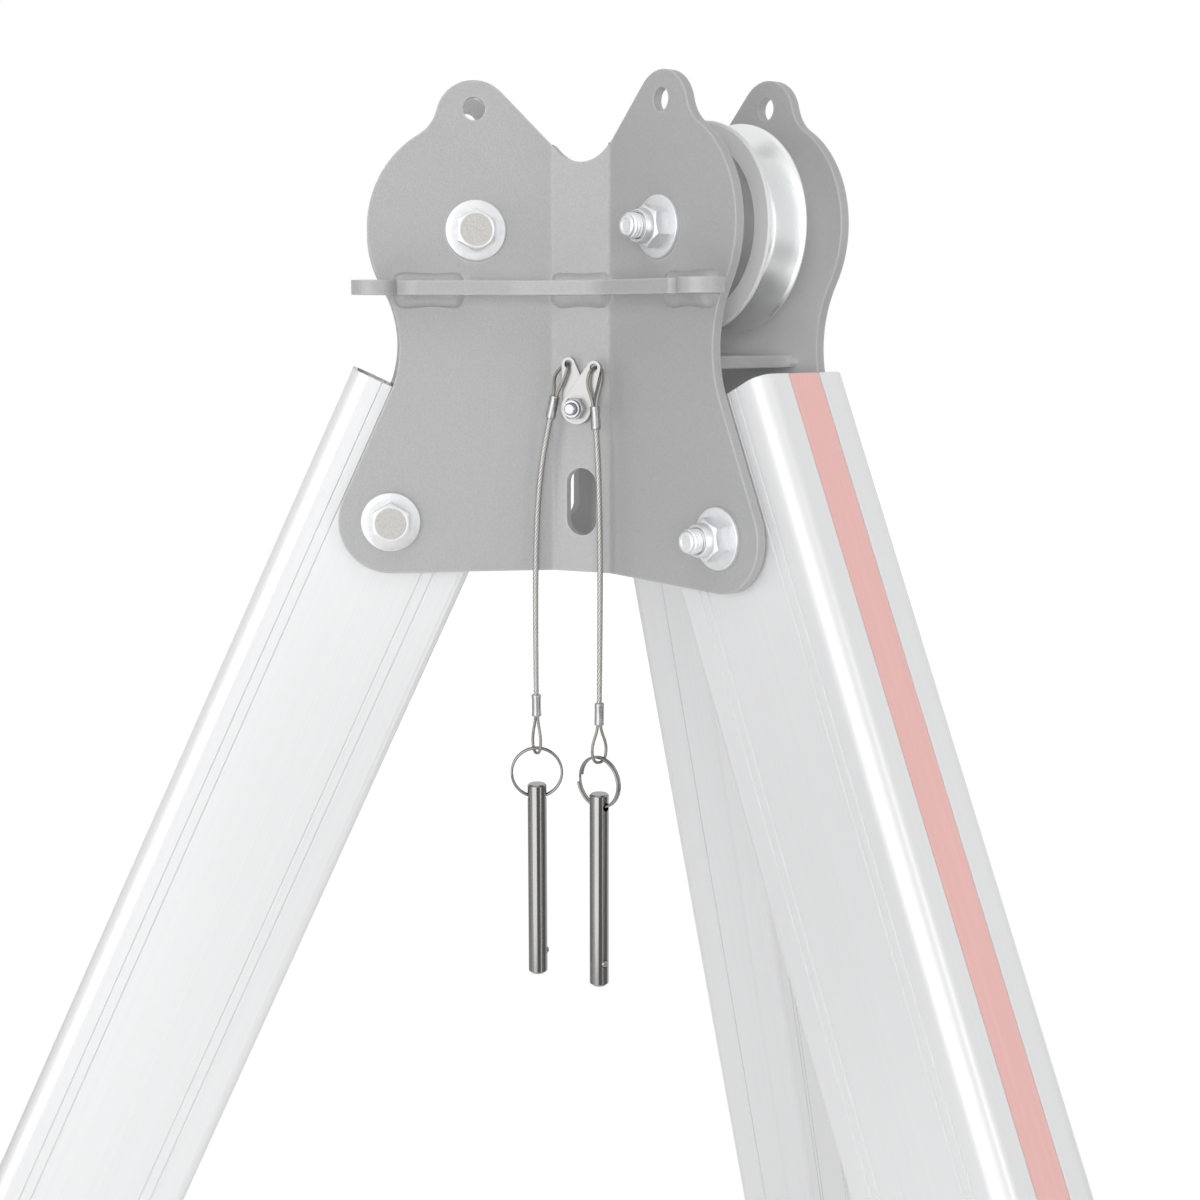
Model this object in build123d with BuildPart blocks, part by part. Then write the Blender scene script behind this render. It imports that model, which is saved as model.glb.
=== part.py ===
"""Rescue tripod: a bent-plate head with two rope pulleys, three telescopic legs, two pins on lanyards.

Millimetres. The floor is z = 0, the tripod's own axis is x = y = 0 and +Z is up.
"""

import os
from math import atan2, cos, degrees, pi, radians, sin, sqrt, tan

from build123d import *

os.makedirs("parts", exist_ok=True)

# Stance: three legs leaning out from a head, each pushed in to its shortest
leg_azimuth = {"left": 210, "right": 330, "rear": 90}
leg_lean = 25
leg_length = 1480
pivot_radius = 121.4
foot_pivot_height = 58
pivot_height = leg_length * cos(radians(leg_lean)) + foot_pivot_height
foot_radius = pivot_radius + leg_length * sin(radians(leg_lean))

# Head plates: steel, each bent along two upright lines into a strip and two lobes
plate = 5
channel = 62
lobe_inner = channel / 2
lobe_outer = lobe_inner + plate
strip_half = 15.6
strip_face = (lobe_outer + strip_half * sin(radians(30))) / cos(radians(30))
strip_middle = strip_face * cos(radians(60))
bend_place = strip_middle + strip_half * sin(radians(60))
inner_half = strip_half + plate * tan(radians(15))
inner_bend_place = (strip_face - plate) * cos(radians(60)) + inner_half * sin(radians(60))
bend_round = 4
plate_low = -26.2
slot_width = 16
slot_low = -7.5
slot_high = 26.6

# Outline of a lobe, as radius from the tripod's axis and height over the pivot bolts
corner_round = 26.2
neck_round = 58.4
axle_radius = 76.9
axle_height = 144.1
axle_lobe_round = 53.3
ear_height = 196.9
ear_round = 19
ear_neck_round = 19
ear_hole_height = 202.4
ear_hole = 11
bolt_hole = 13
shoulder_round = 20
valley_low = 177.1
valley_half = 12.4

# Anchor shelf, channel webs and leg stops, all welded to the plates
shelf = 7
shelf_low = 112.5
shelf_front = 77
shelf_flange = 56.5
shelf_lug_radius = 127.3
shelf_lug_offset = 54
shelf_lug_round = 11
web = 6
web_low = 77.5
web_inner = 50
web_outer = 99
stop_bar = 14
stop_gap = 0.4
stop_up = 45

# Fasteners of the head
bolt = 12
bolt_flats = 18
bolt_head = 7.5
bolt_tail = 18.5
washer = 2.5
washer_outside = 30
nut_hex = 7.5
nut_collar = 4.5
thread_fit = 0.1

# Pulleys on bushes and spacers
pulley_round = 50
pulley_width = 25
pulley_gap = 0.4
bush_outside = 20
bush_fit = 0.1
pulley_fit = 0.02
spacer_outside = 22

# Legs: an outer tube with two inner ribs, and an inner tube in its middle chamber
tube_deep = 96
tube_wide = 58
tube_round = 9
tube_inner_round = 5
tube_wall = 2.5
tube_top = 62
tube_low = -1410
rib_inner = 26.7
rib_outer = 29.2
stripe_wide = 19
stripe = 0.5
stripe_channel = 20
stripe_channel_deep = 0.8
leg_bush_outside = 18
leg_bush_flange = 30
leg_bush_flange_thick = 1.6
inner_deep = 52
inner_wide = 51
inner_low = -1430
inner_high = -410
inner_round = 5
guide_gap = 0.4
guide_flange = 6
lock_height = -1380
lock_step = 120
lock_holes = 7
lock_pin = 10
lock_hole = 10.8

# Feet
yoke_flange = 8
cheek_inner = 13
cheek_outer = 21
cheek_round = 18
foot_pin = 10
foot_pin_fit = 0.1
lug_half = 12.5
lug_round = 17
shoe_long = 110
shoe_wide = 84
shoe_plate = 6
shoe_low = 10
eye_drop = 27
eye_hole = 11
pad_long = 118
pad_wide = 92

# Lanyards: two tabs under one nut, wire rope, split rings and pins
tab = 2
tab_spacer = 3
tab_gap = 0.1
tab_bolt = 6
tab_bolt_height = 57
tab_reach = 22.3
tab_big = 8
tab_small = 3.6
tab_hole = 4
tab_lean = {"left": -13, "right": 25.5}
cable = 3
loop_wire = 1.6
ferrule = 4.8
ferrule_long = 11.5
eye_round = 3.1
ring_round = 13
ring_wire = 1.3
ring_pitch = 1.75
pin = 10
pin_long = 103
pin_hole = 4.4
pin_hole_drop = 6.5
ball = 4
ball_out = 1
ball_up = 12.5
ball_fit = 0.1


def heading(azimuth):
    """Level unit vector at an azimuth."""
    return Vector(cos(radians(azimuth)), sin(radians(azimuth)), 0)


def head_point(azimuth, radius, across, height):
    """Point out along a leg's azimuth, across to its left and over the height of the pivot bolts."""
    level = heading(azimuth) * radius + heading(azimuth + 90) * across
    return level + Vector(0, 0, pivot_height + height)


def upright_plane(azimuth, across, radius=0, height=0):
    """Plane along a leg's azimuth: x is outwards, y is up and the normal is to the leg's right."""
    origin = head_point(azimuth, radius, across, height)
    return Plane(origin, x_dir=heading(azimuth), z_dir=heading(azimuth - 90))


def leg_plane(azimuth, along):
    """Plane across a leg: x is the leg's deep way outwards, y is to its left and the normal is up the leg."""
    lean = radians(leg_lean)
    up = heading(azimuth) * -sin(lean) + Vector(0, 0, cos(lean))
    deep = heading(azimuth) * cos(lean) + Vector(0, 0, sin(lean))
    return Plane(head_point(azimuth, pivot_radius, 0, 0) + up * along, x_dir=deep, z_dir=up)


def leg_side_plane(azimuth, across):
    """Plane along a leg's side: x is the leg's deep way outwards, y is up the leg."""
    lean = radians(leg_lean)
    deep = heading(azimuth) * cos(lean) + Vector(0, 0, sin(lean))
    return Plane(head_point(azimuth, pivot_radius, across, 0), x_dir=deep, z_dir=heading(azimuth - 90))


def foot_plane(azimuth, across):
    """Upright plane along a foot: x is outwards and y is up from the foot pin."""
    level = heading(azimuth) * foot_radius + heading(azimuth + 90) * across
    origin = level + Vector(0, 0, foot_pivot_height)
    return Plane(origin, x_dir=heading(azimuth), z_dir=heading(azimuth - 90))


def shoe_plane(azimuth):
    """Level plane on the underside of a foot's shoe: x is outwards."""
    origin = heading(azimuth) * foot_radius + Vector(0, 0, shoe_low)
    return Plane(origin, x_dir=heading(azimuth))


# Centres of the neck round and of the small round under an ear, from the circles they touch
lean_cos = cos(radians(leg_lean))
lean_sin = sin(radians(leg_lean))
edge_distance = pivot_radius * lean_cos + corner_round + neck_round
axle_along = axle_height * lean_cos - axle_radius * lean_sin
axle_off = axle_radius * lean_cos + axle_height * lean_sin
neck_along = axle_along - sqrt((axle_lobe_round + neck_round) ** 2 - (edge_distance - axle_off) ** 2)
neck_centre = (
    edge_distance * lean_cos - neck_along * lean_sin,
    edge_distance * lean_sin + neck_along * lean_cos,
)
neck_end = degrees(atan2(axle_height - neck_centre[1], axle_radius - neck_centre[0]))
ear_rise = ear_height - axle_height
ear_neck_rise = (
    (axle_lobe_round + ear_neck_round) ** 2 - (ear_round + ear_neck_round) ** 2 + ear_rise**2
) / (2 * ear_rise)
ear_neck_out = sqrt((axle_lobe_round + ear_neck_round) ** 2 - ear_neck_rise**2)
ear_neck_centre = (axle_radius + ear_neck_out, axle_height + ear_neck_rise)
ear_neck_start = degrees(atan2(ear_neck_rise, ear_neck_out))
ear_neck_end = degrees(atan2(ear_rise - ear_neck_rise, -ear_neck_out))
ear_slope_start = (
    axle_radius - ear_round * cos(radians(45)),
    ear_height + ear_round * sin(radians(45)),
)
bend_top = ear_slope_start[1] - (ear_slope_start[0] - bend_place)
bend_low = bend_top - 2 * strip_half
blank_inner = strip_middle - 10
blank_top = ear_height + ear_round


def lower_edge():
    """Bottom of a lobe, round the pivot bolt and up the edge that stands square to the leg."""
    Line((blank_inner, plate_low), (pivot_radius, plate_low))
    corner = CenterArc((pivot_radius, 0), corner_round, -90, 90 + leg_lean)
    neck_start = (neck_centre[0] - neck_round * lean_cos, neck_centre[1] - neck_round * lean_sin)
    Line(corner @ 1, neck_start)


def upper_blank(bend_height):
    """From the end of a lobe's slope level over the bend, up over the whole strip and down its middle."""
    Polyline(
        (bend_place, bend_height),
        (inner_bend_place, bend_height),
        (inner_bend_place, blank_top),
        (blank_inner, blank_top),
        (blank_inner, plate_low),
    )


def tall_lobe():
    """Lobe that holds a pulley axle, with an ear above it and a slope from the ear to the bend."""
    lower_edge()
    neck_turn = neck_end - 180 - leg_lean
    CenterArc(neck_centre, neck_round, 180 + leg_lean, neck_turn)
    CenterArc((axle_radius, axle_height), axle_lobe_round, neck_end - 180, ear_neck_start + 180 - neck_end)
    CenterArc(ear_neck_centre, ear_neck_round, ear_neck_start - 180, ear_neck_end + 180 - ear_neck_start)
    CenterArc((axle_radius, ear_height), ear_round, ear_neck_end + 180, -45 - ear_neck_end)
    Line(ear_slope_start, (bend_place, bend_top))
    upper_blank(bend_top)


def low_lobe():
    """Lobe of the rear leg's channel: no pulley, so it ends in a shoulder above the neck."""
    lower_edge()
    side = neck_centre[0] - neck_round
    shoulder = neck_centre[1] + shoulder_round
    knee = bend_place + bend_low - shoulder
    knee_reach = shoulder_round * tan(radians(22.5))
    CenterArc(neck_centre, neck_round, 180 + leg_lean, -leg_lean)
    CenterArc((side - shoulder_round, neck_centre[1]), shoulder_round, 0, 90)
    knee_arc = CenterArc((knee + knee_reach, shoulder + shoulder_round), shoulder_round, 270, -45)
    Line((side - shoulder_round, shoulder), knee_arc @ 0)
    Line(knee_arc @ 1, (bend_place, bend_low))
    upper_blank(bend_low)


def half_plate(centre, hand, tall):
    """One lobe of a head plate with half of its strip; hand +1 is at the leg to the left of the strip."""
    azimuth = centre + 60 * hand
    reach = 140
    outer_end = (strip_face + reach * cos(radians(60)), hand * (strip_half + reach * sin(radians(60))))
    inner_end = (
        outer_end[0] - plate * cos(radians(30)),
        outer_end[1] + hand * plate * sin(radians(30)),
    )
    with BuildPart() as half:
        with BuildSketch(Plane((0, 0, pivot_height + plate_low), x_dir=heading(centre))):
            with BuildLine():
                outer = FilletPolyline(
                    (strip_face, 0), (strip_face, hand * strip_half), outer_end, radius=bend_round
                )
                inner = FilletPolyline(
                    (strip_face - plate, 0),
                    (strip_face - plate, hand * inner_half),
                    inner_end,
                    radius=bend_round + plate,
                )
                Line(outer @ 0, inner @ 0)
                Line(outer @ 1, inner @ 1)
            make_face()
        extrude(amount=blank_top - plate_low)
        with BuildSketch(upright_plane(azimuth, -hand * lobe_outer)):
            with BuildLine():
                if tall:
                    tall_lobe()
                else:
                    low_lobe()
            make_face()
            with Locations((pivot_radius, 0)):
                Circle(bolt_hole / 2, mode=Mode.SUBTRACT)
            if tall:
                with Locations((axle_radius, axle_height)):
                    Circle(bolt_hole / 2, mode=Mode.SUBTRACT)
                with Locations((axle_radius, ear_hole_height)):
                    Circle(ear_hole / 2, mode=Mode.SUBTRACT)
        extrude(amount=12, both=True, mode=Mode.INTERSECT)
    return half.part


def strip_plane(centre):
    """Plane on the outer face of a plate's strip: x is along it, y is up and the normal is outwards."""
    origin = heading(centre) * strip_face + Vector(0, 0, pivot_height)
    return Plane(origin, x_dir=heading(centre + 90), z_dir=heading(centre))


# Front plate, between the two front legs: tall lobes on both sides and a valley between them
front_halves = [half_plate(270, hand, tall=True) for hand in (-1, 1)]
with BuildPart() as front_plate:
    add(front_halves)
    with BuildSketch(strip_plane(270)):
        with Locations((0, (slot_low + slot_high) / 2)):
            SlotOverall(slot_high - slot_low, slot_width, rotation=90)
        with Locations((0, tab_bolt_height)):
            Circle(tab_bolt / 2 + 0.2)
        with BuildLine():
            valley_side = bend_top - strip_half + valley_half
            ThreePointArc((-valley_half, valley_side), (0, valley_low), (valley_half, valley_side))
            Polyline(
                (valley_half, valley_side),
                (strip_half, bend_top),
                (inner_half, bend_top),
                (inner_half, blank_top),
                (-inner_half, blank_top),
                (-inner_half, bend_top),
                (-strip_half, bend_top),
                (-valley_half, valley_side),
            )
        make_face()
    extrude(amount=-plate, mode=Mode.SUBTRACT)
front_plate.part.label = "front_head_plate"
export_step(front_plate.part, "parts/front_head_plate.step")

# Side plates: tall lobe at a front leg, low lobe at the rear leg
for name, centre, front_hand in (("right", 30, -1), ("left", 150, 1)):
    side_halves = [half_plate(centre, front_hand, tall=True), half_plate(centre, -front_hand, tall=False)]
    with BuildPart() as side_plate:
        add(side_halves)
        with BuildSketch(strip_plane(centre)):
            with Locations((0, (slot_low + slot_high) / 2)):
                SlotOverall(slot_high - slot_low, slot_width, rotation=90)
            with BuildLine():
                Polyline(
                    (front_hand * inner_half, blank_top),
                    (front_hand * inner_half, bend_top),
                    (front_hand * strip_half, bend_top),
                    (-front_hand * strip_half, bend_low),
                    (-front_hand * inner_half, bend_low),
                    (-front_hand * inner_half, blank_top),
                    close=True,
                )
            make_face()
        extrude(amount=-plate, mode=Mode.SUBTRACT)
    side_plate.part.label = f"{name}_head_plate"
    export_step(side_plate.part, f"parts/{name}_head_plate.step")


def shelf_spot(radius, offset, hand):
    """Point of the shelf's plan at a leg's radius, offset from the leg's middle towards the front."""
    out = radius * cos(radians(60)) + offset * sin(radians(60))
    along = radius * sin(radians(60)) - offset * cos(radians(60))
    return (out, hand * along)


# Anchor shelf: flat bar round the front plate with an eye beside each lobe and a lug at each end
shelf_corner = 2 * (shelf_front - shelf_flange * sin(radians(60)))
with BuildPart() as anchor_shelf:
    with BuildSketch(Plane((0, 0, pivot_height + shelf_low), x_dir=heading(270))):
        for hand in (-1, 1):
            with BuildLine():
                FilletPolyline(
                    (strip_face, 0),
                    (strip_face, hand * strip_half),
                    shelf_spot(120, lobe_outer, hand),
                    shelf_spot(shelf_lug_radius, shelf_lug_offset - shelf_lug_round, hand),
                    shelf_spot(shelf_lug_radius, shelf_flange, hand),
                    shelf_spot(shelf_corner, shelf_flange, hand),
                    (shelf_front, 0),
                    radius=[0, bend_round, 0, 0, 0, 24, 0],
                    close=True,
                )
            make_face()
            with Locations(shelf_spot(112.5, 64, hand)):
                Circle(9, mode=Mode.SUBTRACT)
            with Locations(Location((*shelf_spot(61, lobe_outer, hand), 0), (0, 0, 60 * hand))):
                RectangleRounded(38, 25, 6, mode=Mode.SUBTRACT)
            with Locations(shelf_spot(shelf_lug_radius, shelf_lug_offset, hand)):
                Circle(shelf_lug_round)
    extrude(amount=shelf)
anchor_shelf.part.label = "anchor_shelf"
export_step(anchor_shelf.part, "parts/anchor_shelf.step")

# Channel webs: a flat plate between the two lobes above each leg
with BuildPart() as channel_webs:
    for azimuth in leg_azimuth.values():
        with BuildSketch(Plane((0, 0, pivot_height + web_low), x_dir=heading(azimuth))):
            with Locations(((web_inner + web_outer) / 2, 0)):
                Rectangle(web_outer - web_inner, channel)
        extrude(amount=web)
channel_webs.part.label = "channel_webs"
export_step(channel_webs.part, "parts/channel_webs.step")

# Leg stops: a round bar inside each channel that the spread leg rests against
with BuildPart() as leg_stop_bars:
    for azimuth in leg_azimuth.values():
        with BuildSketch(leg_side_plane(azimuth, lobe_inner)):
            with Locations((-tube_deep / 2 - stop_gap - stop_bar / 2, stop_up)):
                Circle(stop_bar / 2)
        extrude(amount=channel)
leg_stop_bars.part.label = "leg_stop_bars"
export_step(leg_stop_bars.part, "parts/leg_stop_bars.step")


def hexagon(seat, flats, height):
    """Hexagon standing back from its seat, with the corners of its far face turned off."""
    with BuildPart() as block:
        with BuildSketch(seat):
            RegularPolygon(flats / 2, 6, major_radius=False)
        extrude(amount=-height)
        with Locations(seat.offset(-height)):
            Cone(
                0.48 * flats,
                0.48 * flats + height * tan(radians(60)),
                height,
                align=(Align.CENTER, Align.CENTER, Align.MIN),
                mode=Mode.INTERSECT,
            )
    return block.part


def hex_bolt(seat, size, flats, head, length):
    """Hex bolt whose seat plane is under its head, with the shank along the normal."""
    block = hexagon(seat, flats, head)
    with BuildPart() as whole:
        add(block)
        with BuildSketch(seat):
            Circle(size / 2)
        extrude(amount=length - size / 8)
        with BuildSketch(seat.offset(length - size / 8)):
            Circle(size / 2)
        extrude(amount=size / 8, taper=40)
    return whole.part


def lock_nut(seat, size, flats, hex_height, collar_height):
    """Self-locking nut: a hexagon on its seat with a round collar behind it."""
    block = hexagon(seat, flats, hex_height)
    with BuildPart() as whole:
        add(block)
        with BuildSketch(seat.offset(-hex_height)):
            Circle(0.46 * flats)
        extrude(amount=-collar_height, taper=8)
        with BuildSketch(seat):
            Circle(size / 2 + thread_fit)
        extrude(amount=-hex_height - collar_height, mode=Mode.SUBTRACT)
    return whole.part


# Leg pivot bolts and pulley axle bolts: each head is on the leg's left, each nut on its right
leg_pivots = [(azimuth, pivot_radius, 0) for azimuth in leg_azimuth.values()]
pulley_axles = [(leg_azimuth[name], axle_radius, axle_height) for name in ("left", "right")]
grip = 2 * (lobe_outer + washer)
for name, places in (("leg_pivot_bolts", leg_pivots), ("pulley_axle_bolts", pulley_axles)):
    made = []
    for azimuth, radius, height in places:
        seat = upright_plane(azimuth, lobe_outer + washer, radius, height)
        made.append(hex_bolt(seat, bolt, bolt_flats, bolt_head, grip + bolt_tail))
    with BuildPart() as bolts:
        add(made)
    bolts.part.label = name
    export_step(bolts.part, f"parts/{name}.step")

made = []
for azimuth, radius, height in leg_pivots + pulley_axles:
    origin = head_point(azimuth, radius, -lobe_outer - washer, height)
    seat = Plane(origin, x_dir=heading(azimuth), z_dir=heading(azimuth + 90))
    made.append(lock_nut(seat, bolt, bolt_flats, nut_hex, nut_collar))
with BuildPart() as lock_nuts:
    add(made)
lock_nuts.part.label = "lock_nuts"
export_step(lock_nuts.part, "parts/lock_nuts.step")

with BuildPart() as plain_washers:
    for azimuth, radius, height in leg_pivots + pulley_axles:
        for across in (lobe_outer + washer, -lobe_outer):
            with BuildSketch(upright_plane(azimuth, across, radius, height)):
                Circle(washer_outside / 2)
                Circle(bolt_hole / 2, mode=Mode.SUBTRACT)
            extrude(amount=washer)
plain_washers.part.label = "plain_washers"
export_step(plain_washers.part, "parts/plain_washers.step")

# Pulley spacers and bushes, clamped between the lobes by the axle bolt
spacer_long = (channel - pulley_width) / 2 - pulley_gap
with BuildPart() as pulley_spacers:
    for azimuth, radius, height in pulley_axles:
        for across in (lobe_inner, spacer_long - lobe_inner):
            with BuildSketch(upright_plane(azimuth, across, radius, height)):
                Circle(spacer_outside / 2)
                Circle(bolt / 2 + bush_fit / 2, mode=Mode.SUBTRACT)
            extrude(amount=spacer_long)
pulley_spacers.part.label = "pulley_spacers"
export_step(pulley_spacers.part, "parts/pulley_spacers.step")

for name in ("left", "right"):
    azimuth = leg_azimuth[name]
    with BuildPart() as pulley_bush:
        with BuildSketch(upright_plane(azimuth, lobe_inner - spacer_long, axle_radius, axle_height)):
            Circle(bush_outside / 2)
            Circle(bolt / 2 + bush_fit / 2, mode=Mode.SUBTRACT)
        extrude(amount=channel - 2 * spacer_long)
    pulley_bush.part.label = f"{name}_pulley_bush"
    export_step(pulley_bush.part, f"parts/{name}_pulley_bush.step")

    # Pulley: a turned sheave with a vee groove for rope and dished sides
    axle_centre = head_point(azimuth, axle_radius, 0, axle_height)
    bore = bush_outside / 2 + pulley_fit
    half = pulley_width / 2
    with BuildPart() as pulley:
        with BuildSketch(Plane(axle_centre, x_dir=(0, 0, 1), z_dir=heading(azimuth))):
            with BuildLine():
                Polyline(
                    (36.6, 4.6),
                    (pulley_round - 1.2, half - 2.6),
                    (pulley_round, half - 1.6),
                    (pulley_round, half - 0.8),
                    (pulley_round - 0.8, half),
                    (40, half),
                    (38, half - 3),
                    (18, half - 3),
                    (16, half),
                    (bore, half),
                    (bore, -half),
                    (16, -half),
                    (18, 3 - half),
                    (38, 3 - half),
                    (40, -half),
                    (pulley_round - 0.8, -half),
                    (pulley_round, 0.8 - half),
                    (pulley_round, 1.6 - half),
                    (pulley_round - 1.2, 2.6 - half),
                    (36.6, -4.6),
                )
                ThreePointArc((36.6, -4.6), (34.2, 0), (36.6, 4.6))
            make_face()
        revolve(axis=Axis(axle_centre, heading(azimuth + 90)))
    pulley.part.label = f"{name}_pulley"
    export_step(pulley.part, f"parts/{name}_pulley.step")


def tube_outline():
    """Outside of the outer tube: rounder towards the outside of the tripod."""
    deep = tube_deep / 2
    wide = tube_wide / 2
    corners = [(deep, -wide), (deep, wide), (-deep, wide), (-deep, -wide)]
    FilletPolyline(*corners, radius=[tube_round, tube_round, tube_inner_round, tube_inner_round], close=True)


def side_chamber(hand, shrink=0.0):
    """Hollow beside a rib, on the outside (+1) or the inside (-1) of the tube."""
    near = hand * (rib_outer + shrink)
    far = hand * (tube_deep / 2 - tube_wall - shrink)
    wide = tube_wide / 2 - tube_wall - shrink
    far_round = (tube_round if hand > 0 else tube_inner_round) - tube_wall - shrink
    corners = [(near, -wide), (far, -wide), (far, wide), (near, wide)]
    FilletPolyline(*corners, radius=[2, far_round, far_round, 2], close=True)


for name, azimuth in leg_azimuth.items():
    # Outer tube: one extrusion with two inner ribs, fine lines on its sides and a shallow channel on its ends
    with BuildPart() as leg_tube:
        with BuildSketch(leg_plane(azimuth, tube_low)):
            with BuildLine():
                tube_outline()
            make_face()
            RectangleRounded(2 * rib_inner, tube_wide - 2 * tube_wall, 3, mode=Mode.SUBTRACT)
            for hand in (-1, 1):
                with BuildLine():
                    side_chamber(hand)
                make_face(mode=Mode.SUBTRACT)
                with Locations((hand * tube_deep / 2, 0)):
                    Rectangle(2 * stripe_channel_deep, stripe_channel, mode=Mode.SUBTRACT)
            line_places = [(b, t * tube_wide / 2) for b in (-31.5, -26, 26, 31.5) for t in (-1, 1)]
            with Locations(*line_places):
                Rectangle(1, 1, mode=Mode.SUBTRACT)
        extrude(amount=tube_top - tube_low)
        with BuildSketch(leg_side_plane(azimuth, tube_wide / 2)):
            Circle(leg_bush_outside / 2)
            with Locations((0, lock_height)):
                Circle(lock_hole / 2)
        extrude(amount=tube_wide, mode=Mode.SUBTRACT)
    leg_tube.part.label = f"{name}_leg_tube"
    export_step(leg_tube.part, f"parts/{name}_leg_tube.step")

    # Stripe: a plastic strip laid in the channel of the tube's outer face
    with BuildPart() as leg_stripe:
        with BuildSketch(leg_plane(azimuth, tube_low)):
            with Locations((tube_deep / 2 - stripe_channel_deep + stripe / 2, 0)):
                Rectangle(stripe, stripe_wide)
        extrude(amount=tube_top - tube_low)
    leg_stripe.part.label = f"{name}_leg_stripe"
    export_step(leg_stripe.part, f"parts/{name}_leg_stripe.step")

    # Flanged bushes: one in each side of the tube, turning on the pivot bolt
    with BuildPart() as leg_bushes:
        for hand in (-1, 1):
            with BuildSketch(leg_side_plane(azimuth, hand * tube_wide / 2)):
                Circle(leg_bush_flange / 2)
                Circle(bolt / 2 + bush_fit / 2, mode=Mode.SUBTRACT)
            extrude(amount=-hand * leg_bush_flange_thick)
            with BuildSketch(leg_side_plane(azimuth, hand * tube_wide / 2)):
                Circle(leg_bush_outside / 2)
                Circle(bolt / 2 + bush_fit / 2, mode=Mode.SUBTRACT)
            extrude(amount=hand * 12)
    leg_bushes.part.label = f"{name}_leg_bushes"
    export_step(leg_bushes.part, f"parts/{name}_leg_bushes.step")

    # End guide: a plastic collar on the tube's lower end that the inner leg slides through
    with BuildPart() as leg_guide:
        with BuildSketch(leg_plane(azimuth, tube_low - guide_flange)):
            RectangleRounded(tube_deep + 3, tube_wide + 3, tube_round + 1.5)
            RectangleRounded(
                inner_deep + 2 * guide_gap, inner_wide + 2 * guide_gap, inner_round, mode=Mode.SUBTRACT
            )
        extrude(amount=guide_flange)
        with BuildSketch(leg_plane(azimuth, tube_low)):
            for hand in (-1, 1):
                with BuildLine():
                    side_chamber(hand, shrink=0.2)
                make_face()
        extrude(amount=18)
    leg_guide.part.label = f"{name}_leg_guide"
    export_step(leg_guide.part, f"parts/{name}_leg_guide.step")

    # Inner leg: a plain tube with a row of lock holes
    with BuildPart() as inner_leg:
        with BuildSketch(leg_plane(azimuth, inner_low)):
            RectangleRounded(inner_deep, inner_wide, inner_round)
            RectangleRounded(
                inner_deep - 2 * tube_wall,
                inner_wide - 2 * tube_wall,
                inner_round - tube_wall,
                mode=Mode.SUBTRACT,
            )
        extrude(amount=inner_high - inner_low)
        with BuildSketch(leg_side_plane(azimuth, inner_wide / 2)):
            with Locations(*[(0, lock_height + lock_step * step) for step in range(lock_holes)]):
                Circle(lock_hole / 2)
        extrude(amount=inner_wide, mode=Mode.SUBTRACT)
    inner_leg.part.label = f"{name}_inner_leg"
    export_step(inner_leg.part, f"parts/{name}_inner_leg.step")

    # Foot yoke: a plug in the inner leg's end with two cheeks for the foot pin
    flange_low = inner_low - yoke_flange
    with BuildPart() as foot_yoke:
        with BuildSketch(leg_plane(azimuth, inner_low)):
            RectangleRounded(inner_deep - 2 * tube_wall - 0.2, inner_wide - 2 * tube_wall - 0.2, 2.4)
        extrude(amount=35)
        with BuildSketch(leg_plane(azimuth, flange_low)):
            RectangleRounded(inner_deep, inner_wide, inner_round)
        extrude(amount=yoke_flange)
        for across in (cheek_outer, -cheek_inner):
            with BuildSketch(leg_side_plane(azimuth, across)):
                with Locations((0, -leg_length)):
                    Circle(cheek_round)
                with Locations((0, (flange_low - leg_length) / 2)):
                    Rectangle(2 * cheek_round, flange_low + leg_length)
                with Locations((0, -leg_length)):
                    Circle(foot_pin / 2 + foot_pin_fit / 2, mode=Mode.SUBTRACT)
            extrude(amount=cheek_outer - cheek_inner)
    foot_yoke.part.label = f"{name}_foot_yoke"
    export_step(foot_yoke.part, f"parts/{name}_foot_yoke.step")

    # Foot pin: a headed pin through both cheeks and the shoe's lug
    with BuildPart() as pivot_pin:
        with BuildSketch(foot_plane(azimuth, cheek_outer)):
            Circle(foot_pin / 2)
        extrude(amount=2 * cheek_outer)
        for across in (cheek_outer + 4, -cheek_outer):
            with BuildSketch(foot_plane(azimuth, across)):
                Circle(8)
            extrude(amount=4)
    pivot_pin.part.label = f"{name}_foot_pin"
    export_step(pivot_pin.part, f"parts/{name}_foot_pin.step")

    # Foot shoe: a base plate with an upright lug, whose lower hole takes a chain between the feet
    shoe_top = shoe_low + shoe_plate - foot_pivot_height
    with BuildPart() as foot_shoe:
        with BuildSketch(shoe_plane(azimuth)):
            RectangleRounded(shoe_long, shoe_wide, 20)
        extrude(amount=shoe_plate)
        with BuildSketch(foot_plane(azimuth, lug_half)):
            Circle(lug_round)
            with Locations((0, shoe_top / 2)):
                Rectangle(2 * lug_round, -shoe_top)
            Circle(foot_pin / 2 + foot_pin_fit / 2, mode=Mode.SUBTRACT)
            with Locations((0, -eye_drop)):
                Circle(eye_hole / 2, mode=Mode.SUBTRACT)
        extrude(amount=2 * lug_half)
    foot_shoe.part.label = f"{name}_foot_shoe"
    export_step(foot_shoe.part, f"parts/{name}_foot_shoe.step")

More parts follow.
